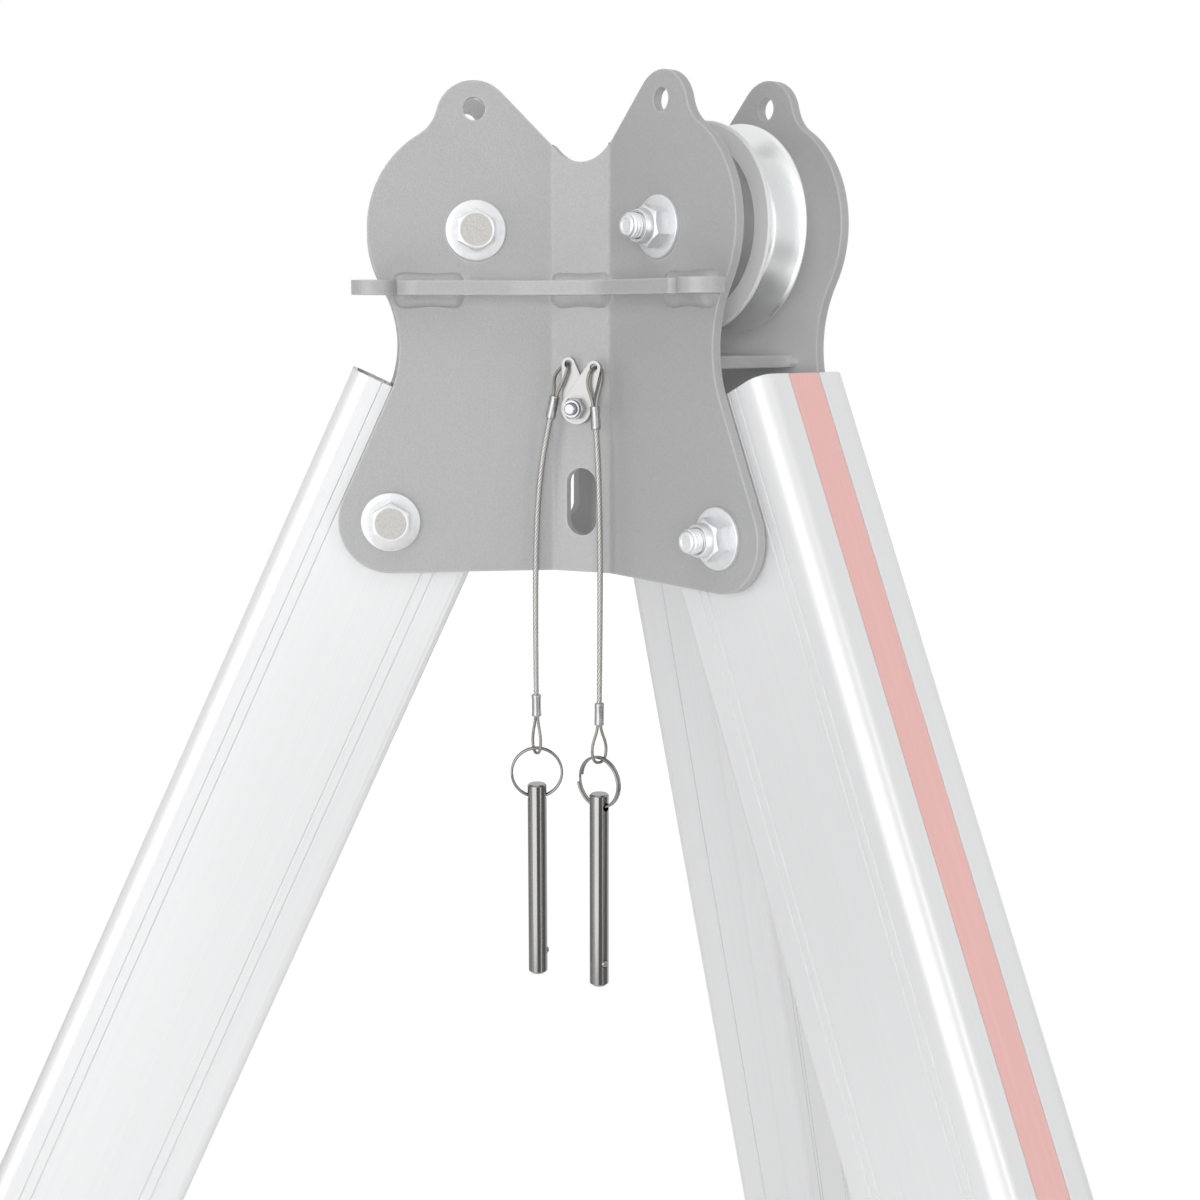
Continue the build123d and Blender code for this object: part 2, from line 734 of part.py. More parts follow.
    # Foot pad: a rubber tray round the shoe's plate with a grooved underside
    with BuildPart() as foot_pad:
        with BuildSketch(Plane(heading(azimuth) * foot_radius, x_dir=heading(azimuth))):
            RectangleRounded(pad_long, pad_wide, 24)
        extrude(amount=shoe_low + shoe_plate)
        with BuildSketch(shoe_plane(azimuth)):
            RectangleRounded(shoe_long + 0.2, shoe_wide + 0.2, 20.1)
        extrude(amount=shoe_plate, mode=Mode.SUBTRACT)
        with BuildSketch(Plane(heading(azimuth) * foot_radius, x_dir=heading(azimuth))):
            with Locations(*[(offset, 0) for offset in (-40, -24, -8, 8, 24, 40)]):
                Rectangle(6, pad_wide)
        extrude(amount=4, mode=Mode.SUBTRACT)
    foot_pad.part.label = f"{name}_foot_pad"
    export_step(foot_pad.part, f"parts/{name}_foot_pad.step")

    # Lock pin: a plain pin through both leg tubes with a round knob on the leg's left
    with BuildPart() as leg_lock_pin:
        with BuildSketch(leg_side_plane(azimuth, tube_wide / 2 + 1)):
            with Locations((0, lock_height)):
                Circle(lock_pin / 2)
        extrude(amount=tube_wide + 7)
        with BuildSketch(leg_side_plane(azimuth, tube_wide / 2 + 0.5)):
            with Locations((0, lock_height)):
                Circle(11)
        extrude(amount=-18)
    leg_lock_pin.part.label = f"{name}_lock_pin"
    export_step(leg_lock_pin.part, f"parts/{name}_lock_pin.step")


def tab_plane(out):
    """Upright plane before the front strip, on the tab bolt: x is to the right and y is up."""
    return Plane((0, -strip_face - out, pivot_height + tab_bolt_height), x_dir=(1, 0, 0), z_dir=(0, -1, 0))


# Lanyard tabs: two flat teardrops on one bolt, the right one in front of the left one
tab_out = {"left": tab_spacer, "right": tab_spacer + tab + tab_gap}
tab_hole_place = {}
with BuildPart() as lanyard_tabs:
    for name, out in tab_out.items():
        lean = radians(tab_lean[name])
        tab_hole_place[name] = (tab_reach * sin(lean), tab_reach * cos(lean))
        with BuildSketch(tab_plane(out)):
            Circle(tab_big)
            with Locations(tab_hole_place[name]):
                Circle(tab_small)
            make_hull()
            Circle(tab_bolt / 2 + 0.2, mode=Mode.SUBTRACT)
            with Locations(tab_hole_place[name]):
                Circle(tab_hole / 2, mode=Mode.SUBTRACT)
        extrude(amount=tab)
lanyard_tabs.part.label = "lanyard_tabs"
export_step(lanyard_tabs.part, "parts/lanyard_tabs.step")

with BuildPart() as spacer_ring:
    with BuildSketch(tab_plane(0)):
        Circle(6)
        Circle(tab_bolt / 2 + 0.2, mode=Mode.SUBTRACT)
    extrude(amount=tab_spacer)
spacer_ring.part.label = "tab_spacer"
export_step(spacer_ring.part, "parts/tab_spacer.step")

# Tab bolt: its head is inside the head, its nut in front of the tabs
nut_out = tab_out["right"] + tab
small_bolt = hex_bolt(tab_plane(-plate), tab_bolt, 10, 4, plate + nut_out + 8.5)
with BuildPart() as tab_screw:
    add(small_bolt)
tab_screw.part.label = "tab_bolt"
export_step(tab_screw.part, "parts/tab_bolt.step")

nut_seat = tab_plane(nut_out)
small_nut = lock_nut(Plane(nut_seat.origin, x_dir=(1, 0, 0), z_dir=(0, 1, 0)), tab_bolt, 10, 4, 2)
with BuildPart() as tab_lock_nut:
    add(small_nut)
tab_lock_nut.part.label = "tab_nut"
export_step(tab_lock_nut.part, "parts/tab_nut.step")


def corner_radii(points):
    """Radius at each corner of a cord's route: its arc takes just under half of the shorter run beside it."""
    radii = []
    for before, corner, after in zip(points, points[1:], points[2:]):
        run_in = corner - before
        run_out = after - corner
        half_turn = radians(run_in.get_angle(run_out)) / 2
        radii.append(0.45 * min(run_in.length, run_out.length) / tan(half_turn))
    return radii


def cord_tube(points, across, label):
    """Round tube along a route of straight runs and arcs; prints its tightest radius and how full it is."""
    radii = corner_radii(points)
    with BuildPart() as tube:
        with BuildLine() as route:
            FilletPolyline(*points, radius=radii)
        with BuildSketch(Plane(points[0], z_dir=points[1] - points[0])):
            Circle(across / 2)
        sweep()
    length = sum(edge.length for edge in route.edges())
    share = tube.part.volume / (pi * across**2 / 4 * length)
    print(f"{label}: length {length:.1f}, radii {min(radii):.1f} to {max(radii):.0f}, filled {share:.4f}")
    return tube.part


def before_strip(points):
    """Route points given across, out from the front strip's face and over the height of the pivot bolts."""
    return [Vector(across, -strip_face - out, pivot_height + height) for across, out, height in points]


# Lanyard routes: the rope from its upper ferrule to its lower one, hanging before the front strip
cable_route = {
    "left": [
        (-13.4, 8.3, 51.8),
        (-15.7, 8.8, 41.0),
        (-17.7, 9.3, 29.0),
        (-20.0, 9.5, 9.0),
        (-21.4, 9.3, -17.0),
        (-21.9, 9.1, -54.0),
        (-21.6, 9.3, -90.2),
    ],
    "right": [
        (11.8, 9.1, 46.9),
        (12.5, 9.4, 37.0),
        (13.2, 9.6, 27.0),
        (13.8, 9.6, 7.0),
        (14.1, 9.4, -19.0),
        (13.9, 9.2, -55.8),
        (13.6, 9.3, -91.8),
    ],
}

# Upper eyes: from the ferrule's top up before the tab, back through its hole and down past its outer side
upper_eye_route = {
    "left": [
        (-8.6, 7.2, 69.8),
        (-5.4, 7.2, 76.9),
        (-5.0, 4.0, 78.8),
        (-6.6, 1.6, 79.2),
        (-9.9, 1.8, 77.4),
        (-11.9, 4.3, 72.8),
    ],
    "right": [
        (8.1, 9.5, 69.0),
        (8.9, 9.4, 75.2),
        (9.7, 6.2, 77.2),
        (11.2, 3.7, 77.6),
        (14.0, 4.1, 75.6),
        (14.6, 6.3, 69.5),
    ],
}
ring_azimuth = {"left": 24, "right": -18.3}
ball_azimuth = {"left": 10, "right": -30}

for name in ("left", "right"):
    rope = before_strip(cable_route[name])
    rise = (rope[0] - rope[1]).normalized()
    fall = (rope[-1] - rope[-2]).normalized()
    upper_end = rope[0] + rise * ferrule_long
    lower_end = rope[-1] + fall * ferrule_long

    # Ferrules: pressed sleeves on both ends of the rope
    with BuildPart() as ferrules:
        with BuildSketch(Plane(rope[0], z_dir=rise)):
            Circle(ferrule / 2)
        extrude(amount=ferrule_long)
        with BuildSketch(Plane(rope[-1], z_dir=fall)):
            Circle(ferrule / 2)
        extrude(amount=ferrule_long)
    ferrules.part.label = f"{name}_lanyard_ferrules"
    export_step(ferrules.part, f"parts/{name}_lanyard_ferrules.step")

    # Rope with its two eyes
    hand = -1 if name == "left" else 1
    spread = rise.cross(Vector(0, hand, 0)).normalized() * 1.0
    inner_foot = upper_end + spread
    outer_foot = upper_end - spread
    upper_eye = [
        inner_foot,
        inner_foot + rise * 2.5,
        *before_strip(upper_eye_route[name]),
        outer_foot + rise * 2.5,
        outer_foot,
    ]
    ring_along = heading(ring_azimuth[name])
    ring_face = heading(ring_azimuth[name] - 90)
    ring_top = lower_end + Vector(0, 0, -17)
    strand = (ring_face - fall * ring_face.dot(fall)).normalized()
    lower_eye = [
        lower_end + strand,
        lower_end + strand + fall * 2.5,
        ring_top + ring_face * eye_round + Vector(0, 0, 3),
        ring_top + ring_face * eye_round + Vector(0, 0, -eye_round),
        ring_top - ring_face * eye_round + Vector(0, 0, -eye_round),
        ring_top - ring_face * eye_round + Vector(0, 0, 3),
        lower_end - strand + fall * 2.5,
        lower_end - strand,
    ]
    rope_solids = [
        cord_tube(rope, cable, f"{name} rope"),
        cord_tube(upper_eye, loop_wire, f"{name} upper eye"),
        cord_tube(lower_eye, loop_wire, f"{name} lower eye"),
    ]
    with BuildPart() as lanyard_cable:
        add(rope_solids)
    lanyard_cable.part.label = f"{name}_lanyard_cable"
    export_step(lanyard_cable.part, f"parts/{name}_lanyard_cable.step")

    # Split ring: two turns of wire, each quarter turn as two arcs that share a tangent
    ring_centre = ring_top + Vector(0, 0, -ring_round)

    def ring_point(turn):
        """Place on the ring's wire, from its side over its top; the ring leans so both turns pass level."""
        around = 2 * pi * turn
        level = ring_along * (-cos(around) * ring_round) + Vector(0, 0, sin(around) * ring_round)
        aside = ring_pitch * (turn - 1 + sin(around) / 4)
        return ring_centre + level + ring_face * aside

    def ring_tangent(turn):
        """Direction of the ring's wire."""
        return (ring_point(turn + 0.0005) - ring_point(turn - 0.0005)).normalized()

    turns = [0.02 + 1.96 * step / 8 for step in range(9)]
    with BuildPart() as pin_ring:
        with BuildLine() as winding:
            for turn, following in zip(turns, turns[1:]):
                start, end = ring_point(turn), ring_point(following)
                leave, arrive = ring_tangent(turn), ring_tangent(following)
                chord = end - start
                bend = 1 - leave.dot(arrive)
                drift = chord.dot(leave + arrive)
                reach = (sqrt(drift**2 + 2 * bend * chord.dot(chord)) - drift) / (2 * bend)
                joint = (start + end + (leave - arrive) * reach) * 0.5
                first_arc = TangentArc(start, joint, tangent=leave)
                TangentArc(joint, end, tangent=first_arc % 1)
        with BuildSketch(Plane(ring_point(turns[0]), z_dir=ring_tangent(turns[0]))):
            Circle(ring_wire / 2)
        sweep()
    points = [edge @ share for edge in winding.edges() for share in [step / 16 for step in range(16)]]
    apart = len(points) // 4
    gap = min((a - b).length for i, a in enumerate(points) for b in points[i + apart :]) - ring_wire
    print(f"{name} ring: least gap between its turns {gap:.2f}, volume {pin_ring.part.volume:.1f}")
    pin_ring.part.label = f"{name}_pin_ring"
    export_step(pin_ring.part, f"parts/{name}_pin_ring.step")

    # Pin: a plain chamfered pin with a cross hole for the ring and a pocket for its ball
    pin_eye = ring_centre + Vector(0, 0, -ring_round + 0.45)
    pin_top = pin_eye + Vector(0, 0, pin_hole_drop)
    pin_low = pin_top + Vector(0, 0, -pin_long)
    ball_way = heading(ball_azimuth[name])
    ball_centre = pin_low + Vector(0, 0, ball_up) + ball_way * (pin / 2 + ball_out - ball / 2)
    with BuildPart() as keeper_pin:
        with BuildSketch(Plane(pin_low)):
            Circle(pin / 2)
        extrude(amount=pin_long)
        chamfer(keeper_pin.edges().group_by(Axis.Z)[0], 1.2)
        chamfer(keeper_pin.edges().group_by(Axis.Z)[-1], 0.8)
        with BuildSketch(Plane(pin_eye - ring_along * pin, z_dir=ring_along)):
            Circle(pin_hole / 2)
        extrude(amount=2 * pin, mode=Mode.SUBTRACT)
        with BuildSketch(Plane(ball_centre + ball_way * 4, z_dir=-ball_way)):
            Circle(ball / 2 + ball_fit / 2)
        extrude(amount=8.5, mode=Mode.SUBTRACT)
    keeper_pin.part.label = f"{name}_pin"
    export_step(keeper_pin.part, f"parts/{name}_pin.step")

    with BuildPart() as pin_ball:
        with Locations(ball_centre):
            Sphere(ball / 2)
    pin_ball.part.label = f"{name}_pin_ball"
    export_step(pin_ball.part, f"parts/{name}_pin_ball.step")
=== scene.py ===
from math import cos, pi, radians, sin, tan

import bpy
from mathutils import Matrix, Vector
from mathutils.kdtree import KDTree


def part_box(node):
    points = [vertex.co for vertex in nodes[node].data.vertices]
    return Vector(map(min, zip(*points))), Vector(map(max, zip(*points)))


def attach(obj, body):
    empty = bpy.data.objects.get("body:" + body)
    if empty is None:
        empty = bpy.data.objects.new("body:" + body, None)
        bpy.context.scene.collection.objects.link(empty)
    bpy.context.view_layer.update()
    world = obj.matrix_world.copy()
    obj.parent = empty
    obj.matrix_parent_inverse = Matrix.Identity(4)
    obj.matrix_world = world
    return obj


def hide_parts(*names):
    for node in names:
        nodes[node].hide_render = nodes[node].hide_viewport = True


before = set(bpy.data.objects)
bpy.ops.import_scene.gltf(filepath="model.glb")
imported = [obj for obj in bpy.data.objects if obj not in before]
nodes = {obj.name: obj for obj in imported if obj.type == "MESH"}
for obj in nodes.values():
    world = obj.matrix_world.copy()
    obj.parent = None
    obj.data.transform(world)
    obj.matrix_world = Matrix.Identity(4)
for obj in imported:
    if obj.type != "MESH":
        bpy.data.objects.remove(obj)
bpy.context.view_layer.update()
bpy.ops.object.select_all(action="DESELECT")

# Head plates, channel webs and leg stops: laser-cut steel, each plate bent along two upright lines.
# They are welded into one head and powder coated after that, in grey with a fine orange peel.
# Edges get a painted highlight, and the channels between the plates a painted paler fill over their shade.
head_grey = (0.38, 0.38, 0.383)
painted_fill_reach = 0.12
leg_lean = 25
leg_length = 1.48
foot_pivot_height = 0.058
pivot_height = leg_length * cos(radians(leg_lean)) + foot_pivot_height


def new_finish(name):
    """Material with a bare shader; gives the material, its node tree and the shader."""
    material = bpy.data.materials.new(name)
    material.use_nodes = True
    return material, material.node_tree, material.node_tree.nodes["Principled BSDF"]


def own_place(tree, centre=(0, 0, 0), turn=(0, 0, 0), stretch=(1, 1, 1)):
    """The piece's own coordinates in metres, from a centre, along turned axes and stretched along them."""
    place = tree.nodes.new("ShaderNodeTexCoord")
    mapping = tree.nodes.new("ShaderNodeMapping")
    mapping.vector_type = "TEXTURE"
    mapping.inputs["Location"].default_value = centre
    mapping.inputs["Rotation"].default_value = turn
    mapping.inputs["Scale"].default_value = stretch
    tree.links.new(place.outputs["Object"], mapping.inputs["Vector"])
    return mapping.outputs["Vector"]


def grain(tree, scale, detail=2.0, place=None):
    """Noise of a scale per metre, as a factor around 0.5."""
    noise = tree.nodes.new("ShaderNodeTexNoise")
    noise.inputs["Scale"].default_value = scale
    noise.inputs["Detail"].default_value = detail
    tree.links.new(place or own_place(tree), noise.inputs["Vector"])
    return noise.outputs["Fac"]


def shade(colour, share):
    """Colour made darker or lighter by a share."""
    return (colour[0] * share, colour[1] * share, colour[2] * share, 1.0)


def tint(tree, factor, dark, light, low=0.3, high=0.7):
    """Colour that runs from dark to light as the factor rises from low to high."""
    ramp = tree.nodes.new("ShaderNodeValToRGB")
    ramp.color_ramp.elements[0].position = low
    ramp.color_ramp.elements[1].position = high
    ramp.color_ramp.elements[0].color = dark
    ramp.color_ramp.elements[1].color = light
    tree.links.new(factor, ramp.inputs["Fac"])
    return ramp.outputs["Color"]


def spread(tree, factor, at_low, at_high, low=0.3, high=0.7):
    """Number that runs from at_low to at_high as the factor rises from low to high."""
    span = tree.nodes.new("ShaderNodeMapRange")
    span.inputs["From Min"].default_value = low
    span.inputs["From Max"].default_value = high
    span.inputs["To Min"].default_value = at_low
    span.inputs["To Max"].default_value = at_high
    tree.links.new(factor, span.inputs["Value"])
    return span.outputs["Result"]


def relief(tree, shader, factor, height, strength=1.0, edge_round=0.0):
    """Bump of a height in metres on the shader's normal, over edges that catch the light as if rounded."""
    bump = tree.nodes.new("ShaderNodeBump")
    bump.inputs["Strength"].default_value = strength
    bump.inputs["Distance"].default_value = height
    tree.links.new(factor, bump.inputs["Height"])
    if edge_round:
        edge = tree.nodes.new("ShaderNodeBevel")
        edge.samples = 4
        edge.inputs["Radius"].default_value = edge_round
        tree.links.new(edge.outputs["Normal"], bump.inputs["Normal"])
    tree.links.new(bump.outputs["Normal"], shader.inputs["Normal"])


def edge_highlight_factor(tree, reach):
    """Factor that is 0 on a flat and rises to 1 within reach of an edge, where a highlight is painted."""
    rounded = tree.nodes.new("ShaderNodeBevel")
    rounded.samples = 6
    rounded.inputs["Radius"].default_value = reach
    surface = tree.nodes.new("ShaderNodeNewGeometry")
    lean = tree.nodes.new("ShaderNodeVectorMath")
    lean.operation = "DOT_PRODUCT"
    tree.links.new(rounded.outputs["Normal"], lean.inputs[0])
    tree.links.new(surface.outputs["Normal"], lean.inputs[1])
    return spread(tree, lean.outputs["Value"], 1.0, 0.0, low=0.75, high=0.97)


def painted_fill_factor(tree, reach):
    """Factor that is 0 in the open and rises deep between pieces within reach, where paler colour is
    painted over the shade.
    """
    hollow = tree.nodes.new("ShaderNodeAmbientOcclusion")
    hollow.samples = 8
    hollow.inputs["Distance"].default_value = reach
    return spread(tree, hollow.outputs["AO"], 0.9, 0.0, low=0.05, high=0.55)


def laid_over(tree, factor, under, over):
    """Colour under, with the colour over laid on it by the factor."""
    mix = tree.nodes.new("ShaderNodeMix")
    mix.data_type = "RGBA"
    under_socket, over_socket = mix.inputs[6], mix.inputs[7]
    tree.links.new(factor, mix.inputs["Factor"])
    tree.links.new(under, under_socket)
    over_socket.default_value = over
    return mix.outputs[2]


def dress(material, *names):
    """Gives CAD nodes their finish."""
    for name in names:
        nodes[name].data.materials.clear()
        nodes[name].data.materials.append(material)


powder_coat, tree, shader = new_finish("powder_coat")
clouds = grain(tree, 16.0, detail=3.0)
peel = grain(tree, 1100.0, detail=2.0)
coat = tint(tree, peel, shade(head_grey, 0.94), shade(head_grey, 1.06))
# Painted fill light: a much paler grey is painted deep between the plates, where shade falls.
dust_and_painted_fill = laid_over(tree, painted_fill_factor(tree, painted_fill_reach), coat, shade(head_grey, 2.2))
# Painted highlight: a paler grey along the edges, where they would catch the light.
painted_edge_highlight = laid_over(tree, edge_highlight_factor(tree, 0.002), dust_and_painted_fill, shade(head_grey, 1.5))
tree.links.new(painted_edge_highlight, shader.inputs["Base Color"])
tree.links.new(spread(tree, clouds, 0.29, 0.37), shader.inputs["Roughness"])
shader.inputs["Specular IOR Level"].default_value = 0.65
relief(tree, shader, peel, 0.0003, 0.5, edge_round=0.0011)
dress(powder_coat, "front_head_plate", "right_head_plate", "left_head_plate")
dress(powder_coat, "channel_webs", "leg_stop_bars")

# Anchor shelf: a flat steel bar round the front plate, with an eye by each lobe and a lug at each end.
# It is welded on above and below, as the webs are at their ends; the beads lie under the powder coat.
leg_azimuth = {"left": 210, "right": 330, "rear": 90}
bead_round = {"over": 0.004, "under": 0.006}
tack_round = 0.0032
bead_step = 0.0011
lobe_face = 0.036
lobe_inside = 0.031
strip_half = 0.0156
strip_face = (lobe_face + strip_half * sin(radians(30))) / cos(radians(30))
shelf_low = 0.1125
shelf_top = 0.1195
lobe_weld_start = 0.083
lobe_weld_end = 0.118
web_low = 0.0775
web_top = 0.0835
web_end = 0.099
dress(powder_coat, "anchor_shelf")


def heading(azimuth):
    """Level unit vector at an azimuth."""
    return Vector((cos(radians(azimuth)), sin(radians(azimuth)), 0))


def head_spot(azimuth, radius, across, height):
    """Point out along a leg's azimuth, across to its left and over the height of the pivot bolts."""
    up = Vector((0, 0, pivot_height + height))
    return heading(azimuth) * radius + heading(azimuth + 90) * across + up


def bead_size(size, step, steps):
    """Radius of a bead at one of its steps: round ends, and swells where the welder paused."""
    end_steps = round(size / bead_step)
    from_end = min(step, steps - step, end_steps) / end_steps
    round_end = 0.25 + 0.75 * (1 - (1 - from_end) ** 2) ** 0.5
    swell = 0.02 * sin(2.1 * step) + 0.07 * sin(0.26 * step + 1.0)
    return size * round_end * (1.0 + swell)


def weld_bead(name, start, end, size):
    """Bead of weld between two points: a small round drawn out in short steps."""
    run = end - start
    steps = round(run.length / bead_step)
    stride = run / steps
    bpy.ops.object.select_all(action="DESELECT")
    bpy.ops.mesh.primitive_circle_add(
        vertices=12,
        radius=bead_size(size, 0, steps),
        fill_type="NGON",
        location=start,
        rotation=run.to_track_quat("Z", "Y").to_euler(),
    )
    bead = bpy.context.view_layer.objects.active
    bead.name = name
    bpy.ops.object.transform_apply(location=True, rotation=True, scale=True)
    bpy.ops.object.mode_set(mode="EDIT")
    bpy.ops.mesh.select_all(action="SELECT")
    for step in range(1, steps + 1):
        bpy.ops.mesh.extrude_region_move(TRANSFORM_OT_translate={"value": stride, "orient_type": "GLOBAL"})
        change = bead_size(size, step, steps) / bead_size(size, step - 1, steps)
        bpy.ops.transform.resize(value=(change,) * 3, center_override=start + stride * step)
    bpy.ops.mesh.select_all(action="SELECT")
    bpy.ops.mesh.normals_make_consistent(inside=False)
    bpy.ops.object.mode_set(mode="OBJECT")
    bpy.ops.object.shade_smooth_by_angle(angle=radians(60))
    bead.data.materials.append(powder_coat)
    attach(bead, "head")


for place, height in (("over", shelf_top), ("under", shelf_low)):
    for side, across in (("left", lobe_face), ("right", -lobe_face)):
        inner_end = head_spot(leg_azimuth[side], lobe_weld_start, across, height)
        outer_end = head_spot(leg_azimuth[side], lobe_weld_end, across, height)
        weld_bead(f"{side}_shelf_weld_{place}", inner_end, outer_end, bead_round[place])
    strip_left = Vector((-strip_half, -strip_face, pivot_height + height))
    strip_right = Vector((strip_half, -strip_face, pivot_height + height))
    weld_bead(f"strip_shelf_weld_{place}", strip_left, strip_right, bead_round[place])
for leg, azimuth in leg_azimuth.items():
    for side, hand in (("left", 1), ("right", -1)):
        web_foot = head_spot(azimuth, web_end, hand * lobe_inside, web_low)
        web_head = head_spot(azimuth, web_end, hand * lobe_inside, web_top)
        weld_bead(f"{leg}_web_weld_{side}", web_foot, web_head, tack_round)

# Pulleys: turned from aluminium bar, each on a bronze bush that turns on its axle between steel spacers.
# The rope keeps the groove polished; the side faces stay satin with the rings of the turning tool.
pulley_radius = 0.0769
pulley_height = 0.1441
groove_edge = 0.0112
edge_blend = 0.0004
for side in ("left", "right"):
    azimuth = leg_azimuth[side]
    turned, tree, shader = new_finish(f"{side}_pulley_aluminium")
    axle = own_place(
        tree,
        centre=head_spot(azimuth, pulley_radius, 0, pulley_height),
        turn=(0, radians(90), radians(azimuth + 90)),
    )
    tool_rings = tree.nodes.new("ShaderNodeTexWave")
    tool_rings.wave_type = "RINGS"
    tool_rings.rings_direction = "Z"
    tool_rings.inputs["Scale"].default_value = 420.0
    tool_rings.inputs["Distortion"].default_value = 2.0
    tool_rings.inputs["Detail Scale"].default_value = 300.0
    tree.links.new(axle, tool_rings.inputs["Vector"])
    split = tree.nodes.new("ShaderNodeSeparateXYZ")
    tree.links.new(axle, split.inputs["Vector"])
    from_middle = tree.nodes.new("ShaderNodeMath")
    from_middle.operation = "ABSOLUTE"
    tree.links.new(split.outputs["Z"], from_middle.inputs[0])
    rim_low = groove_edge - edge_blend
    rim_high = groove_edge + edge_blend
    to_side = spread(tree, from_middle.outputs[0], 0.0, 1.0, rim_low, rim_high)
    bright_to_satin = tint(tree, to_side, (0.84, 0.845, 0.85, 1), (0.62, 0.62, 0.63, 1), 0, 1)
    # Painted fill light: near-white is painted where the pulley lies deep between the plates, in their
    # shade.
    dust_and_painted_fill = laid_over(tree, painted_fill_factor(tree, painted_fill_reach), bright_to_satin, (0.92, 0.92, 0.92, 1))
    # Painted highlight: near-white along the pulley's edges, where they would catch the light.
    painted_edge_highlight = laid_over(tree, edge_highlight_factor(tree, 0.0012), dust_and_painted_fill, (0.95, 0.95, 0.95, 1))
    tree.links.new(painted_edge_highlight, shader.inputs["Base Color"])
    tree.links.new(spread(tree, to_side, 0.24, 0.45, 0, 1), shader.inputs["Roughness"])
    tree.links.new(spread(tree, to_side, 0.75, 0.1, 0, 1), shader.inputs["Metallic"])
    relief(tree, shader, tool_rings.outputs["Fac"], 0.00003, 0.25, edge_round=0.0005)
    dress(turned, f"{side}_pulley")
bronze, tree, shader = new_finish("bush_bronze")
bronze_tint = tint(tree, grain(tree, 220.0), (0.42, 0.27, 0.1, 1), (0.5, 0.34, 0.14, 1))
tree.links.new(bronze_tint, shader.inputs["Base Color"])
shader.inputs["Metallic"].default_value = 0.9
shader.inputs["Roughness"].default_value = 0.35
dress(bronze, "left_pulley_bush", "right_pulley_bush")

# Bolts, lock nuts and washers: bright zinc-plated steel, M12 at the leg pivots and pulley axles.
# Each bolt goes through from the leg's left side; its thread stands out of a lock nut with a nylon ring.
# Heads and nuts are cut from hexagon bar with their corners turned off; a forged dish is left in each head.
thread_pitch = 0.00175
thread_crest = 0.006
thread_core = 0.0051
thread_run_out = 0.0005
thread_turns = 4
tip_clear = 0.0006
hex_flats = 0.018
head_thick = 0.0075
dish_deep = 0.0003
bolt_seat = 0.0385
bolt_tip = -0.057
tip_bevel = 0.0007
tip_dimple = 0.0004
nut_thick = 0.0075
nut_collar = 0.0045
nylon_sunk = 0.0005
bore_deep = 0.003
washer_thick = 0.0025
washer_round = 0.0007
washer_inside = 0.0065
washer_outside = 0.015
zinc_silver = (0.74, 0.747, 0.76)
pivot_radius = 0.1214
bolt_places = {}
for leg, azimuth in leg_azimuth.items():
    bolt_places[f"{leg}_pivot"] = (azimuth, pivot_radius, 0, "leg_pivot_bolts")
for side in ("left", "right"):
    axle_place = (leg_azimuth[side], pulley_radius, pulley_height, "pulley_axle_bolts")
    bolt_places[f"{side}_axle"] = axle_place
nut_turn = {"left_pivot": 21, "right_pivot": 8, "rear_pivot": 47, "left_axle": 34, "right_axle": 8}
zinc, tree, shader = new_finish("zinc_plate")
spangle = grain(tree, 420.0, detail=3.0)
plated = tint(tree, spangle, shade(zinc_silver, 0.96), shade(zinc_silver, 1.04))
# Painted highlight: a brighter zinc along the rims and edges, where they would catch the light.
painted_edge_highlight = laid_over(tree, edge_highlight_factor(tree, 0.0006), plated, shade(zinc_silver, 1.3))
tree.links.new(painted_edge_highlight, shader.inputs["Base Color"])
tree.links.new(spread(tree, spangle, 0.3, 0.36), shader.inputs["Roughness"])
shader.inputs["Metallic"].default_value = 0.65
relief(tree, shader, spangle, 0.00001, 0.1, edge_round=0.0005)
forged, tree, shader = new_finish("forged_dish")
scale_marks = grain(tree, 1500.0, detail=4.0)
forged_tint = tint(tree, scale_marks, (0.42, 0.41, 0.39, 1), (0.6, 0.59, 0.57, 1))
tree.links.new(forged_tint, shader.inputs["Base Color"])
tree.links.new(spread(tree, scale_marks, 0.4, 0.6), shader.inputs["Roughness"])
shader.inputs["Metallic"].default_value = 0.7
relief(tree, shader, scale_marks, 0.0002, 0.4)
nylon, tree, shader = new_finish("nut_nylon")
nylon_tint = tint(tree, grain(tree, 500.0), (0.45, 0.49, 0.55, 1), (0.54, 0.58, 0.64, 1))
tree.links.new(nylon_tint, shader.inputs["Base Color"])
shader.inputs["Roughness"].default_value = 0.42
dress(zinc, "pulley_spacers")


def only(piece):
    """Makes a piece the one that is selected and active."""
    bpy.ops.object.select_all(action="DESELECT")
    piece.select_set(True)
    bpy.context.view_layer.objects.active = piece


def copy_of(piece, name):
    """Copy of a piece with its own mesh."""
    copy = piece.copy()
    copy.data = piece.data.copy()
    copy.name = name
    bpy.context.scene.collection.objects.link(copy)
    return copy


def set_in(piece, place, smooth=40):
    """Sets a piece made at the origin in its place on the head."""
    only(piece)
    piece.matrix_world = place
    bpy.ops.object.transform_apply(location=True, rotation=True, scale=True)
    bpy.ops.object.shade_smooth_by_angle(angle=radians(smooth))
    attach(piece, "head")


